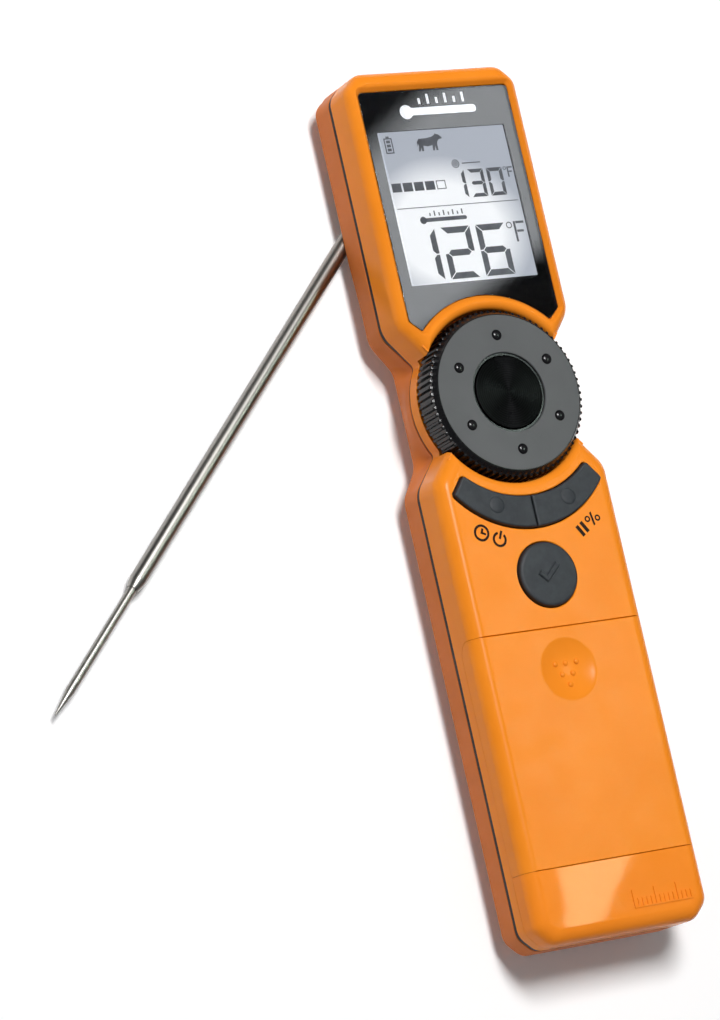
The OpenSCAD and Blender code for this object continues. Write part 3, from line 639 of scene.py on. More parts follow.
def printed(name, first, second):
    """Printed mark with slightly uneven ink."""
    s = Shader(name, Roughness=0.6, Specular_IOR_Level=0.1)
    s.link(s.colours(s.noise(2500, 4), first, second), "Base Color")
    return s.material


def glowing(name, first, second, strength):
    """Glowing mark: a dark display mark that the backlight shows through a little, or a print whose glow is
    painted light.
    """
    s = Shader(name, Roughness=0.4, Emission_Strength=strength)
    ink = s.colours(s.noise(500, 2), first, second)
    s.link(ink, "Base Color")
    s.link(ink, "Emission Color")
    return s.material


STEEL_STRETCH = (1, 60, 1)
JACKET_STRETCH = (1, 20, 1)
ORANGE = plastic("orange_plastic", (0.875, 0.252, 0.016), (0.905, 0.268, 0.020), (0.2, 0.26), shine=0.12)
REAR_ORANGE = plastic("rear_orange", (0.63, 0.170, 0.034), (0.68, 0.186, 0.042), (0.42, 0.5), shine=0.12)
GLOSS_ORANGE = plastic("gloss_orange", (0.885, 0.242, 0.016), (0.915, 0.257, 0.020), (0.2, 0.26), 0.001,
                       coat=0.12, shine=0.06)
KEY_RUBBER = rubber("key_rubber", (0.027, 0.031, 0.036), (0.036, 0.041, 0.047))
SEAL_RUBBER = rubber("seal_rubber", (0.006, 0.005, 0.005), (0.012, 0.011, 0.010))
BLACK_GLOSS = plastic("dial_black", (0.005, 0.005, 0.006), (0.010, 0.010, 0.011), (0.18, 0.25), 0.002)
DIAL_GREY = plastic("dial_grey", (0.090, 0.093, 0.096), (0.103, 0.106, 0.109), (0.40, 0.48), 0.003)
DARK_RING = metal("dark_ring", (0.045, 0.045, 0.048), (0.08, 0.08, 0.084), (0.2, 0.28))
SPUN_CAP = spun_cap()
PROBE_STEEL = metal("drawn_steel", (0.25, 0.241, 0.226), (0.36, 0.348, 0.326), (0.3, 0.38),
                    STEEL_STRETCH, -OPEN)
PLAIN_STEEL = metal("plated_steel", (0.56, 0.56, 0.57), (0.68, 0.68, 0.69), (0.25, 0.35))
BRASS = metal("turned_brass", (0.62, 0.45, 0.18), (0.74, 0.56, 0.25), (0.2, 0.3))
GLASS = clear_glass()
MASK = plastic("lens_mask", (0.003, 0.003, 0.0035), (0.005, 0.005, 0.0055), (0.4, 0.5), 0.001, shine=0.05)
DISPLAY = lit_display()
SEGMENT = glowing("display_mark", (0.042, 0.045, 0.052), (0.058, 0.061, 0.070), 0.9)
INK = printed("dark_ink", (0.016, 0.009, 0.006), (0.026, 0.014, 0.009))
# White lens print: its glow is painted light, standing in for the light that the glass keeps off the print
WHITE_INK_PAINTED_GLOW = glowing("white_ink_painted_glow", (0.72, 0.73, 0.74), (0.82, 0.83, 0.84), 0.6)
BLACK_PLASTIC = plastic("black_plastic", (0.020, 0.020, 0.022), (0.034, 0.034, 0.036), (0.4, 0.5))
WHITE_PLASTIC = plastic("white_plastic", (0.74, 0.74, 0.73), (0.82, 0.82, 0.81), (0.4, 0.5))
BOARD = plastic("solder_mask", (0.012, 0.10, 0.035), (0.022, 0.15, 0.055), (0.25, 0.35))
JACKET = metal("cell_jacket", (0.16, 0.17, 0.19), (0.22, 0.23, 0.25), (0.3, 0.4), JACKET_STRETCH)
WIRE = rubber("wire_sleeve", (0.34, 0.03, 0.02), (0.44, 0.045, 0.03))

SLOT_LOOKS = {
    "orange_shell": REAR_ORANGE, "gloss_cap": GLOSS_ORANGE, "seal_rubber": SEAL_RUBBER,
    "key_rubber": KEY_RUBBER, "lens_glass": GLASS, "display": DISPLAY, "light_guide": WHITE_PLASTIC,
    "black_plastic": BLACK_PLASTIC, "white_plastic": WHITE_PLASTIC, "board": BOARD,
    "dial_black": BLACK_GLOSS, "dial_grey": DIAL_GREY, "cap_metal": SPUN_CAP,
    "probe_steel": PROBE_STEEL, "plain_steel": PLAIN_STEEL, "brass": BRASS, "cell_jacket": JACKET,
    "wire": WIRE,
}


def dress_nodes():
    """Give every node of the frame its material and smooth shading."""
    for part in frame["record"]["subparts"]:
        node = frame["nodes"][part["node"]]
        paint(node, SLOT_LOOKS[part["material_slot"]])
        weld = node.modifiers.new("weld", "WELD")
        weld.merge_threshold = NODE_WELD * MM
        split = node.modifiers.new("split", "EDGE_SPLIT")
        split.split_angle = SHARP
        weigh_normals(node)


# Case


def ease(t):
    return (1 - math.cos(math.pi * t)) / 2


def seam_gap(y):
    """Height of the seam: wide on the straight sides and a hairline round the waist."""
    t = min(1, max(0, (SHOULDER_Y - abs(y)) / (SHOULDER_Y - NECK_Y)))
    return SEAM_H + (SEAM_HAIR - SEAM_H) * t


def seam_ring(inset, side, lift):
    """Ring of the case at the seam's upper (1) or lower (-1) edge."""
    return [(p.x, p.y, SEAM_Z + side * (seam_gap(p.y) / 2 + lift)) for p in outline(inset)]


def fillet_rings(r, edge, side, w):
    """Rings round an outside edge: side 1 rises to a front edge, -1 falls to a back edge."""
    rings = []
    for k in range(FILLET_STEPS + 1):
        t = math.pi / 2 * k / FILLET_STEPS
        rings.append(level(outline(r * (1 - math.cos(t)), w), edge - side * r * (1 - math.sin(t))))
    return rings


def blend_rings(inset):
    """Rings from the seam down to the rabbet's roof, while the seam's outline turns into the back's."""
    top = SEAM_Z - SEAM_H
    rings = []
    for k in range(1, BLEND_STEPS + 1):
        t = k / BLEND_STEPS
        rings.append(level(outline(inset, 1 - ease(t)), top + t * (RABBET_Z - top)))
    return rings


def lens_ring(g, z):
    """Lens outline grown by g, with its lower arc."""
    low = LENS_TIP[1] - g
    r = LENS_ARC_R - g
    end = math.atan2(low, math.sqrt(r * r - low * low))
    right = [Vector(LENS_TIP), Vector((LENS_W, LENS_LOW)), Vector((LENS_W, LENS_TOP))]
    plan = drawn_in([Vector((-p.x, p.y)) for p in right[:1]] + right
                    + [Vector((-p.x, p.y)) for p in reversed(right[1:])], -g)
    corners = plan[1:] + plan[:1]
    sides = rounded(corners, LENS_CORNERS)
    return level(sides + arc((0, 0), r, math.pi - end, end, 40), z)


def flare(start, rim):
    """Walls of an opening: [size, height] points, and its eased rim measured from the front face."""
    return start + [(size, BODY_T + rise) for size, rise in rim]


LENS_FLARE = flare([(0.15, LENS_Z - 0.78), (0.15, LENS_Z)],
                   [(0.6, -0.5), (0.8, -0.28), (1.05, -0.12), (1.4, -0.03), (1.9, 0.02), (1.95, 1)])
WELL_FLARE = flare([(WELL_R, WELL_Z), (WELL_R, BODY_T - 1.5)],
                   [(WELL_R + 0.1, -1), (WELL_R + 0.35, -0.55), (WELL_R + 0.75, -0.2), (WELL_R + 1.2, -0.03),
                    (WELL_R + 1.7, 0.03), (WELL_R + 1.75, 1)])
KEY_FLARE = flare([(KEY_GAP, CUP_Z)],
                  [(KEY_GAP, -0.3), (0.27, -0.12), (0.4, -0.01), (0.6, 0.04), (0.65, 1)])


def key_ends(g):
    """Where the inner and the outer arc of the keys meet the sloping end."""
    start = Vector((KEY_END_X, -math.sqrt(KEY_IN_R ** 2 - KEY_END_X ** 2)))
    start += g * Vector((math.sin(KEY_SLOPE), math.cos(KEY_SLOPE)))
    along = Vector((math.cos(KEY_SLOPE), -math.sin(KEY_SLOPE)))
    ends = []
    for centre, r in ((Vector((0, 0)), KEY_IN_R - g), (Vector((0, KEY_OUT_Y)), KEY_OUT_R + g)):
        away = start - centre
        reach = away.dot(along)
        half = math.sqrt(reach * reach - away.length_squared + r * r)
        ends.append(start + along * min((-reach - half, -reach + half), key=abs))
    return ends


def key_arcs(g, split):
    """Outline of the right key, or of the opening for both keys where there is no split."""
    inner, outer = key_ends(g)
    out_r, in_r = KEY_OUT_R + g, KEY_IN_R - g
    if split:
        edge = split - g
        low_start = math.atan2(-math.sqrt(out_r ** 2 - edge ** 2), edge)
        top_end = math.atan2(-math.sqrt(in_r ** 2 - edge ** 2), edge)
    else:
        low_start = math.atan2(outer.y - KEY_OUT_Y, -outer.x)
        top_end = math.atan2(inner.y, -inner.x)
    steps = KEY_STEPS if split else 2 * KEY_STEPS
    low = arc((0, KEY_OUT_Y), out_r, low_start, math.atan2(outer.y - KEY_OUT_Y, outer.x), steps)
    top = arc((0, 0), in_r, math.atan2(inner.y, inner.x), top_end, steps)
    ring = low + top
    corner = max(KEY_CORNER + g, KEY_LEAST_R)
    near = KEY_SPLIT_R if split else corner
    radii = [near] + [0] * (steps - 1) + [corner, corner] + [0] * (steps - 1) + [near]
    return rounded(ring, radii)


def front_openings():
    """Everything that is cut through the front face."""
    low, high = span("lcd_frame")
    return [stack("mouth", [lens_ring(g, z) for g, z in LENS_FLARE]),
            block("display_room", (low.x - FRAME_ROOM, low.y - FRAME_ROOM, BODY_T - 4.5),
                  (high.x + FRAME_ROOM, high.y + FRAME_ROOM, LENS_Z)),
            lathe("well", WELL_FLARE, 192),
            lathe("shaft_hole", [(BUSH_R, BODY_T - 8.5), (BUSH_R, WELL_Z + 1)]),
            stack("key_room", [level(key_arcs(g, 0), z) for g, z in KEY_FLARE]),
            lathe("enter_room", [(ENTER_R + g, z) for g, z in KEY_FLARE], 96, at(0, ENTER_Y)),
            block("bay", (BAY[0], BAY_LOW + BAY_LEDGE, 0), (BAY[1], BAY_TOP - BAY_LEDGE, OVER)),
            block("under_deck", (-HALF_W + RAIL_INSET + 2, RAIL_INSET + WALL - HANDLE_END, 0),
                  (HALF_W - RAIL_INSET - 1.6, BAY_TOP + 0.05, DECK_Z - DECK_T))]


def front_additions():
    """Dial cup, bulkhead, lens ledge and cover rails inside the front shell."""
    cup = lathe("cup", [(CUP_R, CUP_Z), (CUP_R, BODY_T - 0.9)], 128)
    boolean(cup, "INTERSECT", [prism("inside", outline(0.4), 0, BODY_T)])
    ledge = clipped(outline(WALL - 0.5), 1, LEDGE_Y)
    deck = clipped(outline(RAIL_INSET), -1, RAIL_TOP)
    return [cup,
            prism("ledge", ledge, LENS_BASE - LEDGE_T, BODY_T - 1.2),
            prism("deck", deck, INSIDE_Z, DECK_Z),
            block("bulkhead", (1 - HALF_W, COVER_TOP + HAIR, INSIDE_Z),
                  (HALF_W - 1, BULKHEAD_Y, BODY_T - 1))]


def cover_side_line(gap):
    """[y, z] line of the cover's side: along the handle, round the corner and up its upper edge."""
    top, low = COVER_TOP - gap, COVER_Z + gap
    mid = (top - COVER_CORNER, low + COVER_CORNER)
    return [(-FAR, low)] + arc(mid, COVER_CORNER, -math.pi / 2, 0, 12)


def seam_edge(side):
    """Rings of a shell at the seam, from the inside to its eased outer edge."""
    return [seam_ring(WALL, side, 0), seam_ring(EDGE, side, 0), seam_ring(0, side, EDGE)]


def front_shell():
    roof = level(outline(WALL), BODY_T - WALL)
    piece = stack("front_case", [roof] + seam_edge(1) + fillet_rings(FRONT_R, BODY_T, 1, 1))
    lip = [(COVER_TOP, BODY_T - 0.2), (COVER_TOP + 0.07, BODY_T - 0.05), (COVER_TOP + 0.25, BODY_T + 0.05),
           (COVER_TOP + 0.25, OVER), (-FAR, OVER)]
    boolean(piece, "DIFFERENCE", [along_x("zone", cover_side_line(0) + lip, -FAR, FAR)])
    boolean(piece, "UNION", front_additions())
    boolean(piece, "DIFFERENCE", front_openings() + rail_grooves())
    dress(cleaned(piece), "case", "orange_shell", ORANGE, "front_shell")


def rail_grooves():
    """Grooves that the cover's lips run in."""
    inner = HALF_W - COVER_SIDE - LIP_REACH - 0.3
    outer = HALF_W - RAIL_INSET + 0.05
    return both_sides("groove", inner, outer, (-FAR, COVER_Z + HAIR), (RAIL_TOP, COVER_Z + LIP_T + 0.45))


def at_screws(name, profile, segments):
    """A turned shape at every screw."""
    return [lathe(name, profile, segments, at(s * x, y)) for x, y in SCREWS for s in (1, -1)]


def rear_additions():
    """Walls of the rabbet, of the end step and of the screw posts inside the rear shell."""
    low, high = WALL / 2, RABBET_Z + RABBET_WALL
    inside = outline(WALL / 2, 0)
    beside = [Vector((min(p.x, RABBET_X + RABBET_WALL), p.y)) for p in inside]
    behind = clipped(inside, -1, END_STEP + RABBET_WALL - HANDLE_END)
    r = POCKET_R + RABBET_WALL
    room = [prism("rabbet_wall", distinct(beside), low, high), prism("step_wall", behind, low, high),
            lathe("pocket_wall", [(r, low), (r, high)], 64, at(*PIVOT))]
    return room + at_screws("post", [(POST_R, low), (POST_R, POST_TOP)], 32)


def rear_openings():
    """Rabbet, hinge pocket and screw holes of the rear shell.

    Cutters that overlap start at different depths below the back, so that their lower faces share no plane.
    """
    roof = [(-FAR, -5.0), (-FAR, RABBET_Z), (LIP_Y - LIP_SLOPE, RABBET_Z), (LIP_Y, RABBET_Z - RABBET_LIP),
            (FAR, RABBET_Z - RABBET_LIP), (FAR, -5.0)]
    tools = [along_x("rabbet", roof, -FAR, RABBET_X),
             block("rabbet_top", (1.6 - HALF_W, -FAR, -3), (RABBET_X - HAIR, FAR, RABBET_Z - HAIR)),
             block("end_step", (-FAR, -FAR, -4), (FAR, END_STEP - HANDLE_END, RABBET_Z + HAIR)),
             lathe("pocket", [(POCKET_R, -2), (POCKET_R, RABBET_Z)], 96, at(*PIVOT)),
             lathe("spigot_hole", [(SPIGOT_R, -1.5), (SPIGOT_R, HOLE_TOP)], 48, at(*PIVOT))]
    hole = [(SCREW_HEAD_R + 0.35, -1), (SCREW_HEAD_R + 0.3, 0.02), (SCREW_HEAD_R, 0.3),
            (SCREW_HEAD_R, SCREW_HEAD_TOP), (SCREW_R, SCREW_HEAD_TOP), (SCREW_R, HOLE_TOP)]
    return tools + at_screws("screw_hole", hole, 48)


def rear_shell():
    inner = [level(outline(WALL, 0), WALL)] + blend_rings(WALL)[::-1]
    piece = stack("rear_case", inner + seam_edge(-1) + blend_rings(0) + fillet_rings(BACK_R, 0, -1, 0))
    boolean(piece, "UNION", rear_additions())
    boolean(piece, "DIFFERENCE", rear_openings())
    dress(cleaned(piece), "case", "orange_shell", REAR_ORANGE, "rear_shell")


def seam_seal():
    """Black seal that fills the seam a little below the surface."""
    rings = [seam_ring(inset, side, -SEAL_ROOM) for inset, side in
             ((SEAL_INSET, 1), (SEAL_W, 1), (SEAL_W, -1), (SEAL_INSET, -1))]
    dress(band("seam_seal", rings), "case", "seal_rubber", SEAL_RUBBER, "body_gasket")


# Battery cover

DOME_ROOT = 0.25
DOME_TIP = 0.05


def cover_blank(name):
    """Hollow front of the case that the cover and the end plate are cut from."""
    low = COVER_Z - 1
    inner = outline(COVER_SIDE)
    rings = [level(inner, BODY_T - COVER_T), level(inner, low), level(outline(0), low)]
    piece = stack(name, rings + fillet_rings(FRONT_R, BODY_T, 1, 1))
    top = COVER_TOP - COVER_GAP
    edge = [(top, BODY_T - 0.3), (top - 0.07, BODY_T - 0.1), (top - 0.25, BODY_T + 0.03), (top - 0.25, OVER),
            (FAR, OVER), (FAR, 0.0), (-FAR, 0.0)]
    return boolean(piece, "DIFFERENCE", [along_x("rest", cover_side_line(COVER_GAP) + edge, -FAR, FAR)])


def split_tool(side):
    """Space on one side of the line above the end plate, with eased edges on top."""
    edge = COVER_SPLIT + side * 0.04
    rim = edge + side * 0.12
    profile = [(edge, 0.0), (edge, BODY_T - 0.14), (edge + side * 0.04, BODY_T - 0.04), (rim, BODY_T + 0.02),
               (rim, OVER), (-side * FAR, OVER), (-side * FAR, 0.0)]
    return along_x("split", profile, -FAR, FAR)


def cover_lips(low, high):
    """Inner lips that hold the cover on its rails."""
    inner, outer = HALF_W - COVER_SIDE - LIP_REACH, HALF_W - COVER_SIDE / 2
    return both_sides("lip", inner, outer, (low, COVER_Z + LIP_LIFT), (high, COVER_Z + LIP_LIFT + LIP_T))


def dimple_floor(r):
    """Height of the thumb dimple's floor, which is part of a ball."""
    ball = (DIMPLE_R ** 2 + DIMPLE_DEPTH ** 2) / (2 * DIMPLE_DEPTH)
    return BODY_T - DIMPLE_DEPTH + ball - math.sqrt(ball ** 2 - r ** 2)


def dimple_profile():
    """Cutter for the thumb dimple: a shallow bowl with a narrow eased rim."""
    bowl = [(DIMPLE_R * k / 20, dimple_floor(DIMPLE_R * k / 20)) for k in range(1, 20)]
    rim = DIMPLE_R + 0.3
    return bowl + [(DIMPLE_R + 0.02, BODY_T - 0.03), (rim, BODY_T + 0.004), (rim, OVER)]


def dome(name, x, y, z, r, rise, steps=5, sides=20):
    """Low dome that stands in a surface."""
    profile = [(r, z - DOME_ROOT)]
    for k in range(steps):
        t = math.pi / 2 * k / steps
        profile.append((r * math.cos(t), z + rise * math.sin(t)))
    return lathe(name, profile + [(r * DOME_TIP, z + rise)], sides, at(x, y))


def battery_cover():
    piece = cover_blank("battery_cover_shell")
    boolean(piece, "DIFFERENCE", [split_tool(1)])
    boolean(piece, "DIFFERENCE", [lathe("dimple", dimple_profile(), 96, at(0, DIMPLE_Y))])
    dots = []
    for row in range(3):
        for k in range(3 - row):
            x, y = (k - (2 - row) / 2) * DOT_PITCH, DOT_TOP - row * DOT_ROW
            dots.append(dome("dot", x, DIMPLE_Y + y, dimple_floor(math.hypot(x, y)), DOT_R, DOT_RISE))
    boolean(piece, "UNION", dots)
    boolean(piece, "UNION", cover_lips(COVER_SPLIT + 0.5, COVER_TOP - COVER_CORNER - 1))
    dress(cleaned(piece), "cover", "orange_shell", ORANGE, "battery_cover")


TICK_X = (2.2, 15.2)
TICK_N = 14
TICK_Y = -99.2
TICK_L = 1.5
TICK_LONG = 3.2
TICK_W = 0.4
TICK_RISE = 0.2


def scale_ticks():
    """Raised ruler ticks on the end plate, every fifth one longer."""
    low, high = BODY_T - TICK_RISE, BODY_T + TICK_RISE
    ticks = [block("base_line", (TICK_X[0], TICK_Y - 0.3, low), (TICK_X[1], TICK_Y, high))]
    for k in range(TICK_N):
        x = TICK_X[0] + TICK_W / 2 + (TICK_X[1] - TICK_X[0] - TICK_W) * k / (TICK_N - 1)
        length = TICK_LONG if k % 5 == 0 else TICK_L
        ticks.append(block("tick", (x - TICK_W / 2, TICK_Y - 0.1, low),
                           (x + TICK_W / 2, TICK_Y + length, high)))
    return ticks


def end_plate():
    piece = cover_blank("end_plate")
    boolean(piece, "DIFFERENCE", [split_tool(-1)])
    boolean(piece, "UNION", scale_ticks())
    boolean(piece, "UNION", cover_lips(END_CUT + 1 - HANDLE_END, COVER_SPLIT - 0.5))
    dress(cleaned(piece), "cover", "gloss_cap", GLOSS_ORANGE, "cover_end_cap")


# Lens and display


def lens():
    """Clear window with an eased edge, over a printed black mask."""
    rings = [(0, LENS_BASE + MASK_T + 0.003), (0, LENS_Z - 0.04), (-0.012, LENS_Z - 0.012), (-0.04, LENS_Z)]
    window = stack("lens_window", [lens_ring(*ring) for ring in rings])
    dress(window, "case", "lens_glass", GLASS, "display_lens")
    mask = stack("lens_mask", [lens_ring(0, LENS_BASE), lens_ring(0, LENS_BASE + MASK_T)])
    hole = rounded(rectangle(-WINDOW_W / 2, WINDOW_Y, WINDOW_W / 2, WINDOW_Y + WINDOW_H), [0.25] * 4)
    boolean(mask, "DIFFERENCE", [prism("hole", hole, LENS_BASE - 1, LENS_BASE + 1)])
    dress(mask, "case", "lens_glass", MASK, "display_lens")


MARK_Z = LCD_Z + 0.004
MARK_T = 0.02
SEGMENTS = {"0": "abcdef", "1": "bc", "2": "abged", "3": "abgcd", "6": "afgedc"}


def digit(figure, x, y, w, h, stroke):
    """Seven-segment figure with mitred ends and its lower left corner at x, y."""
    gap, half = stroke * 0.1, stroke / 2
    mid, top, right = y + h / 2, y + h, x + w
    upper = [(x, top - gap), (x, mid + gap), (x + half, mid + gap), (x + stroke, mid + half + gap),
             (x + stroke, top - stroke - gap)]
    cap = [(x + gap, top), (x + stroke + gap, top - stroke), (right - stroke - gap, top - stroke),
           (right - gap, top)]
    bar = [(x + half + gap, mid), (x + stroke + gap, mid - half), (right - stroke - gap, mid - half),
           (right - half - gap, mid), (right - stroke - gap, mid + half), (x + stroke + gap, mid + half)]
    over = [(x + right - px, py) for px, py in upper]
    shapes = {"a": cap, "b": over, "f": upper, "g": bar}
    for name, source in (("c", "b"), ("d", "a"), ("e", "f")):
        shapes[name] = [(px, 2 * mid - py) for px, py in shapes[source]]
    return [[Vector(p) for p in shapes[name]] for name in SEGMENTS[figure]]


def figures(text, x, y, w, h, pitch, stroke):
    return [b for k, figure in enumerate(text) for b in digit(figure, x + k * pitch, y, w, h, stroke)]


def ring_mark(x, y, r, w, steps=24):
    """Ring as a chain of short quads."""
    quads = []
    for k in range(steps):
        a, b = 2 * math.pi * k / steps, 2 * math.pi * (k + 1) / steps
        quads.append([Vector((x + q * math.cos(t), y + q * math.sin(t)))
                      for q, t in ((r - w, a), (r, a), (r, b), (r - w, b))])
    return quads


def unit_mark(x, y, h, stroke):
    """Temperature unit after the degree ring."""
    w = 0.58 * h
    return [rectangle(x, y, x + stroke, y + h), rectangle(x + stroke * 1.2, y + h - stroke, x + w, y + h),
            rectangle(x + stroke * 1.2, y + h * 0.52 - stroke / 2, x + w * 0.85, y + h * 0.52 + stroke / 2)]


def box_mark(x0, y0, x1, y1, line):
    """Outline of a rectangle."""
    return [rectangle(x0, y0, x0 + line, y1), rectangle(x1 - line, y0, x1, y1),
            rectangle(x0, y0, x1, y0 + line), rectangle(x0, y1 - line, x1, y1)]


def battery_mark(x, y):
    """Battery picture with three charge blocks."""
    w, h, line, side = 1.8, 3.1, 0.24, 0.48
    pole = rectangle(x + 0.55, y + h, x + w - 0.55, y + h + 0.35)
    charge = [rectangle(x + side, y + side + 0.8 * k, x + w - side, y + 1.04 + 0.8 * k) for k in range(3)]
    return box_mark(x, y, x + w, y + h, line) + [pole] + charge


OX = [(-2.9, 0.9), (-2.75, 1.9), (-2.3, 2.5), (-0.6, 2.55), (0.6, 2.75), (1.3, 3.1), (1.55, 3.45),
      (1.75, 3.2), (2.2, 3.15), (2.9, 2.55), (2.8, 2.25), (2.2, 2.2), (1.75, 1.75), (1.6, 1.25),
      (1.6, 0.0), (1.15, 0.0), (1.1, 0.95), (0.8, 0.0), (0.4, 0.0), (0.5, 1.05), (-0.6, 0.9),
      (-1.5, 1.1), (-1.6, 0.0), (-2.0, 0.0), (-2.05, 0.75), (-2.35, 0.0), (-2.75, 0.0), (-2.5, 1.0),
      (-2.6, 1.6)]
OX_AT = (-3.0, 49.25)


def thermometer_mark(x, y, length, w):
    """Lying thermometer: a bulb, a stem and scale ticks above it."""
    stem = rounded(rectangle(x, y - w / 2, x + length, y + w / 2), [0, w * 0.45, w * 0.45, 0])
    ticks = []
    for k in range(int((length - 3 * w) / (1.3 * w)) + 1):
        left = x + 2 * w + k * w * 1.3
        ticks.append(rectangle(left, y + w * 0.95, left + 0.35 * w, y + w * (1.75 + 0.5 * (k % 2))))
    return [circle(x, y, w * 0.95, 20), stem] + ticks


def target_mark(x, y, r):
    """Target picture: two rings and a dot."""
    return ring_mark(x, y, r, 0.2) + ring_mark(x, y, r * 0.6, 0.17) + [circle(x, y, r * 0.28, 16)]


def level_blocks(x, y, n, full):
    """Row of doneness blocks, the first ones filled and the rest as outlines."""
    w, h, pitch, line = 2.05, 1.75, 2.45, 0.17
    shapes = []
    for k in range(n):
        corners = (x + pitch * k, y, x + pitch * k + w, y + h)
        shapes += [rectangle(*corners)] if k < full else box_mark(*corners, line)
    return shapes


def marks(name, shapes, z, thick, material, slot):
    """Thin printed shapes in one piece."""
    pieces = [prism("mark", shape, z, z + thick) for shape in shapes]
    dress(joined(name, pieces), "case", slot, material)


# Layout of the display, as x, y and then the sizes that each mark's function names
READING = (-12.85, 23.6, 6.5, 10.3, 7.8, 1.25)
READING_RING = (10.25, 33.3, 0.66, 0.2)
READING_UNIT = (11.25, 29.9, 4.1, 0.46)
TARGET = (-0.5, 39.4, 3.5, 5.6, 4.25, 0.72)
TARGET_RING = (12.15, 44.7, 0.36, 0.15)
TARGET_UNIT = (12.65, 42.9, 2.1, 0.3)
TARGET_SIGN = (1.6, 46.3, 0.85)
TARGET_LINE = (3.0, 46.2, 7.1, 46.42)
BATTERY_AT = (-12.9, 49.2)
MIDDLE_LINE = (-13.3, 38.1, 13.5, 38.26)
DONENESS = (-13.4, 41.5, 5, 4)
READING_SIGN = (-8.2, 35.6, 9.6, 0.78)
LENS_SIGN = (-6.6, 57.2, 15.5, 1.5)
LENS_PRINT_Z = LENS_BASE + MASK_T + 0.0005
LENS_PRINT_T = 0.0018


def display_marks():
    shapes = figures("126", *READING) + figures("130", *TARGET)
    shapes += ring_mark(*READING_RING) + unit_mark(*READING_UNIT)
    shapes += ring_mark(*TARGET_RING) + unit_mark(*TARGET_UNIT)
    shapes += battery_mark(*BATTERY_AT) + [[Vector(OX_AT) + Vector(p) for p in OX]]
    shapes += [rectangle(*MIDDLE_LINE)] + level_blocks(*DONENESS)
    shapes += target_mark(*TARGET_SIGN) + [rectangle(*TARGET_LINE)] + thermometer_mark(*READING_SIGN)
    marks("display_marks", shapes, MARK_Z, MARK_T, SEGMENT, "display")
    # The lens print shines with painted light, not with a lamp or backlight
    sign = thermometer_mark(*LENS_SIGN)
    marks("lens_print", sign, LENS_PRINT_Z, LENS_PRINT_T, WHITE_INK_PAINTED_GLOW, "lens_glass")


# Dial

# Ribs of the knurl in shares of their pitch: half a rib's foot, the width of a flank, and the points drawn
RIB_FOOT = 0.3
RIB_FLANK = 0.16
RIB_POINTS = [0.0, 0.2, 0.25, 0.3, 0.36, 0.42, 0.58, 0.64, 0.70, 0.75, 0.8]


def rib_height(t):
    """Height of a knurl rib across one pitch, from 0 to 1."""
    return min(1.0, max(0.0, (RIB_FOOT - abs(t - 0.5)) / RIB_FLANK))


def knurl_ring(z, share, root=KNURL_R - KNURL_DEPTH):
    """Ring of the knurl with its ribs at a share of their height."""
    ring = []
    for i in range(KNURL_N):
        for t in RIB_POINTS:
            a = 2 * math.pi * (i + t - 0.5) / KNURL_N
            r = root + share * KNURL_DEPTH * rib_height(t)
            ring.append((r * math.cos(a), r * math.sin(a), z))
    return ring


def dial_knob():
    """Knob from its bore outwards, up over the ribs and in again to the seats of the plate and the cap."""
    grip = [(KNOB_LOW + 0.3, 0.6), (KNOB_LOW + 0.6, 1), (KNURL_TOP - 0.32, 1), (KNURL_TOP - 0.14, 0.86),
            (KNURL_TOP - 0.03, 0.55), (KNURL_TOP, 0.25)]
    under = [(BORE_TOP, BORE_R), (KNOB_LOW, BORE_R), (KNOB_LOW, KNURL_R - KNURL_DEPTH - 0.4)]
    over = [(KNURL_TOP + 0.06, BEVEL_R), (FACE_Z - 0.1, FACE_R + 0.22), (FACE_Z, FACE_R + 0.14),
            (FACE_Z, FACE_R + 0.03), (FACE_Z - PLATE_SEAT, FACE_R + 0.03),
            (FACE_Z - PLATE_SEAT, RING_R + 0.03), (FACE_Z - CAP_SEAT, RING_R + 0.03),
            (FACE_Z - CAP_SEAT, 1.0)]
    rings = [knurl_ring(z, 0, r) for z, r in under] + [knurl_ring(z, share) for z, share in grip]
    rings += [knurl_ring(z, 0, r) for z, r in over]
    dress(stack("dial_grip", rings), "dial", "dial_black", BLACK_GLOSS, "dial_knob")


def rivet_places():
    return [(RIVET_CIRCLE_R * math.cos(a), RIVET_CIRCLE_R * math.sin(a))
            for a in (math.pi / 2 + 2 * math.pi * i / RIVET_N for i in range(RIVET_N))]


def below_face(profile):
    """A [radius, depth] profile as radius and height."""
    return [(r, FACE_Z - depth) for r, depth in profile]


def dial_plate():
    """Face plate with eased rims and holes for the rivets."""
    low, inner = PLATE_SEAT - 0.02, RING_R + 0.02
    plate = below_face([(inner, low), (FACE_R, low), (FACE_R, 0.07), (FACE_R - 0.07, 0), (inner + 0.12, 0),
                        (inner, 0.12)])
    piece = closed_ring("dial_plate", plate)
    hole = below_face([(RIVET_PIN_R + 0.02, 2), (RIVET_PIN_R + 0.02, -1)])
    boolean(piece, "DIFFERENCE", [lathe("hole", hole, 24, at(x, y)) for x, y in rivet_places()])
    dress(piece, "dial", "dial_grey", DIAL_GREY, "dial_face")


def dial_middle():
    """Chamfered ring and the spun cap in it."""
    seat, bore, foot = CAP_SEAT - 0.02, CAP_R - 0.23, CAP_R - 0.25
    ring = below_face([(bore, seat), (RING_R, seat), (RING_R, 0.62), (RING_R - 0.06, 0.46), (bore, 0.46)])
    dress(closed_ring("dial_inset", ring), "dial", "dial_grey", DARK_RING, "dial_ring")
    cap = below_face([(1.0, seat), (foot, seat), (foot, 0.4), (CAP_R, 0.4), (CAP_R, 0.36),
                      (CAP_R - 0.28, 0.12), (CAP_R - 0.36, 0.1), (4.0, 0.13), (1.0, 0.15), (0.1, 0.15)])
    dress(lathe("dial_centre", cap, 160), "dial", "cap_metal", SPUN_CAP, "dial_cap")


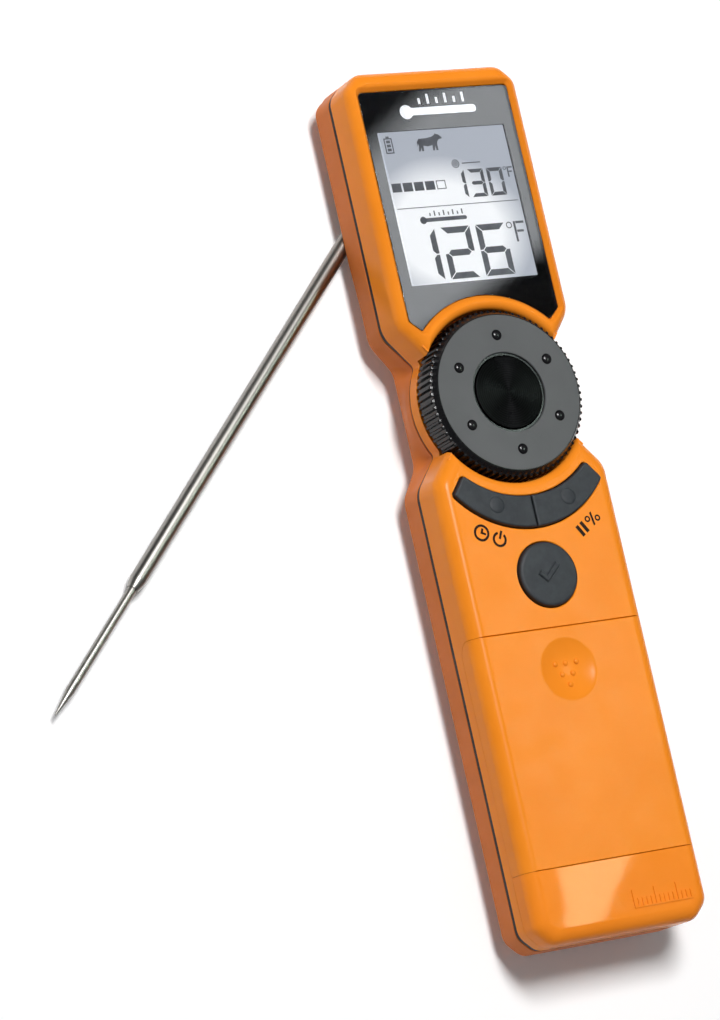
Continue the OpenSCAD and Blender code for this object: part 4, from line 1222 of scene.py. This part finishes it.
def dial_domes():
    """Domed rivets round the cap."""
    head = [(RIVET_PIN_R, 2.18), (RIVET_PIN_R, -RIVET_LIFT), (RIVET_R, -RIVET_LIFT)]
    for k in range(1, RIVET_STEPS):
        t = math.pi / 2 * k / RIVET_STEPS
        head.append((RIVET_R * math.cos(t), -RIVET_LIFT - (RIVET_RISE - RIVET_LIFT) * math.sin(t)))
    rivets = [lathe("rivet", below_face(head), 32, at(x, y)) for x, y in rivet_places()]
    dress(joined("dial_domes", rivets), "dial", "dial_black", BLACK_GLOSS, "dial_rivets")


# Keys

# Profiles of the keys as [growth, height]: a flange, an upright wall and an eased top
KEY_FOOT = [(0.55, KEY_LOW), (0.55, KEY_LOW + 0.8), (0.0, KEY_LOW + 0.8)]
KEY_PROFILE = KEY_FOOT + [(0.0, KEY_TOP - 0.34), (-0.05, KEY_TOP - 0.2), (-0.14, KEY_TOP - 0.09),
                          (-0.28, KEY_TOP - 0.02), (-0.45, KEY_TOP)]
ENTER_PROFILE = KEY_FOOT + [(0.0, KEY_TOP - 0.55), (-0.06, KEY_TOP - 0.34), (-0.2, KEY_TOP - 0.16),
                            (-0.42, KEY_TOP - 0.05), (-0.75, KEY_TOP), (0.5 - ENTER_R, KEY_TOP + 0.06)]


def arc_key(name, side):
    rings = [level(key_arcs(g, KEY_SPLIT + max(g, 0)), z) for g, z in KEY_PROFILE]
    piece = stack(name, rings)
    boolean(piece, "UNION", [dome("dot", *KEY_DOT, KEY_TOP, KEY_DOT_R, KEY_DOT_RISE, 6, 40)])
    if side < 0:
        piece.data.transform(Matrix.Scale(-1, 4, (1, 0, 0)))
        piece.data.flip_normals()
    return cleaned(piece)


CHECK = [(-2.5, 0.1), (-1.75, 0.85), (-0.75, -0.15), (1.75, 2.1), (2.5, 1.35), (-0.75, -1.65)]
CHECK_RISE = 0.42
CHECK_EASE = 0.2


def enter_key():
    """Round key with a raised tick mark."""
    piece = lathe("enter_button", [(ENTER_R + g, z) for g, z in ENTER_PROFILE], 128, at(0, ENTER_Y))
    shape = [Vector((x, y + ENTER_Y)) for x, y in reversed(CHECK)]
    top = KEY_TOP + CHECK_RISE
    rings = [level(shape, KEY_TOP - 0.2), level(shape, top - CHECK_EASE),
             level(drawn_in(shape, CHECK_EASE), top)]
    return boolean(piece, "UNION", [stack("check", rings)])


def keys():
    dress(arc_key("left_button_pad", -1), "left_button", "key_rubber", KEY_RUBBER, "left_key")
    dress(arc_key("right_button_pad", 1), "right_button", "key_rubber", KEY_RUBBER, "right_key")
    dress(cleaned(enter_key()), "enter_button", "key_rubber", KEY_RUBBER, "enter_key")


PRINT_Z = BODY_T + 0.002
PRINT_T = 0.012

# Places of the prints as x, y and degrees
CLOCK_AT = (-10.3, -26.7, -25)
HOLD_AT = (11.3, -26.6, 33)
POWER_GAP = range(4, 8)


def turned_about(shapes, x, y, degrees):
    """Shapes moved to x, y and turned."""
    c, s = math.cos(math.radians(degrees)), math.sin(math.radians(degrees))
    return [[Vector((x + c * p.x - s * p.y, y + s * p.x + c * p.y)) for p in shape] for shape in shapes]


def clock_mark():
    """Clock picture and a power picture beside it."""
    hands = [rectangle(-2.13, -0.2, -1.67, 0.9), rectangle(-2.13, -0.2, -0.95, 0.22)]
    power = [quad for k, quad in enumerate(ring_mark(2.0, 0, 1.5, 0.48)) if k not in POWER_GAP]
    return ring_mark(-1.9, 0, 1.65, 0.48) + hands + power + [rectangle(1.77, 0.1, 2.23, 1.75)]


def hold_mark():
    """Pause picture, and a slash between two rings."""
    pause = [rectangle(-2.7, -1.2, -1.95, 1.2), rectangle(-1.45, -1.2, -0.7, 1.2)]
    slash = [Vector((0.7, -1.2)), Vector((1.18, -1.2)), Vector((2.2, 1.2)), Vector((1.72, 1.2))]
    return pause + ring_mark(0.55, 0.62, 0.62, 0.32) + [slash] + ring_mark(2.45, -0.6, 0.62, 0.32)


def key_prints():
    shapes = turned_about(clock_mark(), *CLOCK_AT) + turned_about(hold_mark(), *HOLD_AT)
    marks("key_prints", shapes, PRINT_Z, PRINT_T, INK, "orange_shell")


# Probe


def probe():
    along = Vector((-math.sin(OPEN), -math.cos(OPEN), 0))
    turned = along.to_track_quat("Z", "Y").to_matrix().to_4x4()
    place = at(PIVOT[0], PIVOT[1], PROBE_Z) @ turned
    cone, point = STEP_AT - CONE_L, PROBE_L - POINT_L
    hole = NEEDLE_R + 0.02
    tube = [(TUBE_BORE, TUBE_START), (PROBE_R, TUBE_START), (PROBE_R, cone - 0.3), (PROBE_R - 0.02, cone),
            (NEEDLE_R + 0.24, STEP_AT - 0.06), (NEEDLE_R + 0.18, STEP_AT), (hole, STEP_AT), (hole, cone - 3),
            (TUBE_BORE, cone - 3)]
    piece = closed_ring("probe_sleeve", tube, 64)
    piece.data.transform(Matrix.Translation(place.translation * MM) @ turned)
    dress(piece, "probe", "probe_steel", PROBE_STEEL, "probe_tube")
    head, neck = TUBE_BORE - 0.02, NEEDLE_START + 1.98
    needle = [(head, NEEDLE_START), (head, neck), (NEEDLE_R, neck), (NEEDLE_R, point - 0.4),
              (NEEDLE_R - 0.03, point), (NEEDLE_R - 0.18, point + 1), (0.2, PROBE_L - 0.3),
              (0.12, PROBE_L - 0.05), (0.03, PROBE_L)]
    dress(lathe("probe_tip", needle, 64, place), "probe", "probe_steel", PROBE_STEEL, "probe_needle")


# Stage, light and camera

CAMERA_AT = (-0.399478, -0.148813, 0.655593)
CAMERA_AXES = ((0.86673491, -0.21471491, 0.45018675), (0.10508336, 0.96094681, 0.25600529),
               (-0.48757367, -0.17458159, 0.85544911))
SENSOR_W = 36
LENS_LENGTH = 143.38
FLOOR_COLOUR = (0.96, 0.96, 0.96, 1)
FLOOR_GLOW = 0.07
FLOOR_HALF = 3000
FLOOR_DROP = 0.02
LAMP_AT = (-0.13, 0.3, 1.0)
LAMP_SIZE = (0.2, 0.36)
LAMP_POWER = 10.9
SKY = ((0.06, 0.06, 0.065), (0.16, 0.163, 0.168), 0.05, 0.75)
HEAD_SHADE = ((1.0, 1.0, 1.0), (0.04, 0.04, 0.04), 0.62, 0.74)


def floor():
    """Pale floor that shows shadows, with a faint glow for the camera, reflections and the window."""
    square = rectangle(-FLOOR_HALF, -FLOOR_HALF, FLOOR_HALF, FLOOR_HALF)
    piece = make("floor", level(square, 0), [range(4)])
    s = Shader("pale_floor", Roughness=0.9)
    s.main.inputs["Base Color"].default_value = FLOOR_COLOUR
    path = s.node("LightPath")
    seen = path.outputs["Is Camera Ray"]
    for ray in ("Is Glossy Ray", "Is Transmission Ray"):
        seen = s.math("MAXIMUM", seen, path.outputs[ray])
    white = s.glow((1, 1, 1), s.math("MULTIPLY", seen, FLOOR_GLOW))
    lit = s.node("AddShader", {0: s.main.outputs["BSDF"], 1: white})
    s.surface(lit.outputs["Shader"])
    piece.data.materials.append(s.material)
    piece.location.z = -FLOOR_DROP * MM


def key_lamp():
    """Rectangular lamp that faces the dial's axis on the floor. Its place and size are in metres."""
    lamp = bpy.data.lights.new("key", "AREA")
    lamp.shape = "RECTANGLE"
    lamp.size, lamp.size_y = LAMP_SIZE
    lamp.energy = LAMP_POWER
    piece = added("key", lamp)
    piece.location = LAMP_AT
    piece.rotation_euler = (-Vector(LAMP_AT)).to_track_quat("-Z", "Y").to_euler()


def studio():
    """Room light: brighter overhead than near the floor, and dark beyond the head of the case."""
    world = bpy.data.worlds.new("studio")
    bpy.context.scene.world = world
    s = Nodes(world, "Background")
    way = s.node("TexCoord").outputs["Generated"]
    axes = s.node("SeparateXYZ", {"Vector": way}).outputs
    both = {0: s.colours(axes["Z"], *SKY), 1: s.colours(axes["Y"], *HEAD_SHADE)}
    s.link(s.node("VectorMath", both, operation="MULTIPLY").outputs["Vector"], "Color")


def mirrored(x, y, height=0.8):
    """Place above the case, in metres, that a point of its front face mirrors to the camera."""
    share = height / (CAMERA_AT[2] - BODY_T * MM)
    return (x * MM + (x * MM - CAMERA_AT[0]) * share, y * MM + (y * MM - CAMERA_AT[1]) * share,
            height + BODY_T * MM)


def sheen(name, quads, strength, colour, glow=None):
    """Card above the case that only reflections see, given as quads where the front face mirrors it.

    It glows evenly, or by a share for each point.
    """
    points = [p for quad in quads for p in quad]
    card = make(name, [Vector(mirrored(*p)) / MM for p in points],
                [range(4 * k, 4 * k + 4) for k in range(len(quads))])
    glows = card.data.attributes.new("glow", "FLOAT", "POINT")
    glows.data.foreach_set("value", [glow(*p) if glow else 1.0 for p in points])
    s = Shader(name)
    share = s.node("Attribute", attribute_name="glow").outputs["Fac"]
    s.surface(s.glow(colour, s.math("MULTIPLY", share, strength)))
    card.data.materials.append(s.material)
    card.visible_camera = False
    card.visible_diffuse = False


# Cards, by where the front face mirrors them
SHEEN_X = 19.0
SHEEN_Y = (9.0, 78.0)
SHEEN_CELL = 1.9
SHEEN_LOW = (18.2, 0.476, 5.0)
SHEEN_HIGH = (64.8, 0.65, 8.0)
PLATE_SHEEN = [(-13.3, -102.5), (-6.5, -102.5), (5.7, -88.0), (-13.3, -88.0)]
FACE_SHEEN = [(-34, -84), (26, -84), (26, -20), (-34, -20)]


def lens_glow(x, y):
    """Glow of the lens card, which lies between two slanting soft edges given as [height, slope, width]."""
    low = (y - SHEEN_LOW[0] - SHEEN_LOW[1] * x) / SHEEN_LOW[2]
    high = (SHEEN_HIGH[0] + SHEEN_HIGH[1] * x - y) / SHEEN_HIGH[2]
    return min(1, max(0, min(low, high)))


def steps_between(low, high, size):
    n = math.ceil((high - low) / size)
    return [low + (high - low) * k / n for k in range(n + 1)]


def lens_card():
    """Small quads of the lens card, open where the display is."""
    half, low, high = WINDOW_W / 2, WINDOW_Y, WINDOW_Y + WINDOW_H
    zones = [(-SHEEN_X, SHEEN_Y[0], SHEEN_X, low), (-SHEEN_X, high, SHEEN_X, SHEEN_Y[1]),
             (-SHEEN_X, low, -half, high), (half, low, SHEEN_X, high)]
    quads = []
    for x0, y0, x1, y1 in zones:
        xs, ys = steps_between(x0, x1, SHEEN_CELL), steps_between(y0, y1, SHEEN_CELL)
        quads += [rectangle(a, c, b, d) for a, b in zip(xs, xs[1:]) for c, d in zip(ys, ys[1:])]
    return quads


def lights():
    studio()
    key_lamp()
    sheen("lens_sheen", lens_card(), strength=3.3, colour=(0.94, 0.97, 1.0), glow=lens_glow)
    sheen("face_sheen", [FACE_SHEEN], strength=15.0, colour=(0.8, 1.0, 0.85))
    sheen("plate_sheen", [PLATE_SHEEN], strength=45.0, colour=(0.8, 0.9, 0.55))


def camera():
    data = bpy.data.cameras.new("camera")
    data.sensor_width = SENSOR_W
    data.lens = LENS_LENGTH
    data.clip_start = 0.01
    piece = added("camera", data)
    piece.matrix_world = at(*CAMERA_AT) @ Matrix(CAMERA_AXES).transposed().to_4x4()
    bpy.context.scene.camera = piece


def main():
    bpy.context.scene.view_settings.view_transform = "Standard"
    camera()
    floor()
    lights()
    dress_nodes()
    front_shell()
    rear_shell()
    seam_seal()
    battery_cover()
    end_plate()
    lens()
    display_marks()
    dial_knob()
    dial_plate()
    dial_middle()
    dial_domes()
    keys()
    key_prints()
    probe()
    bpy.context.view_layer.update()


main()
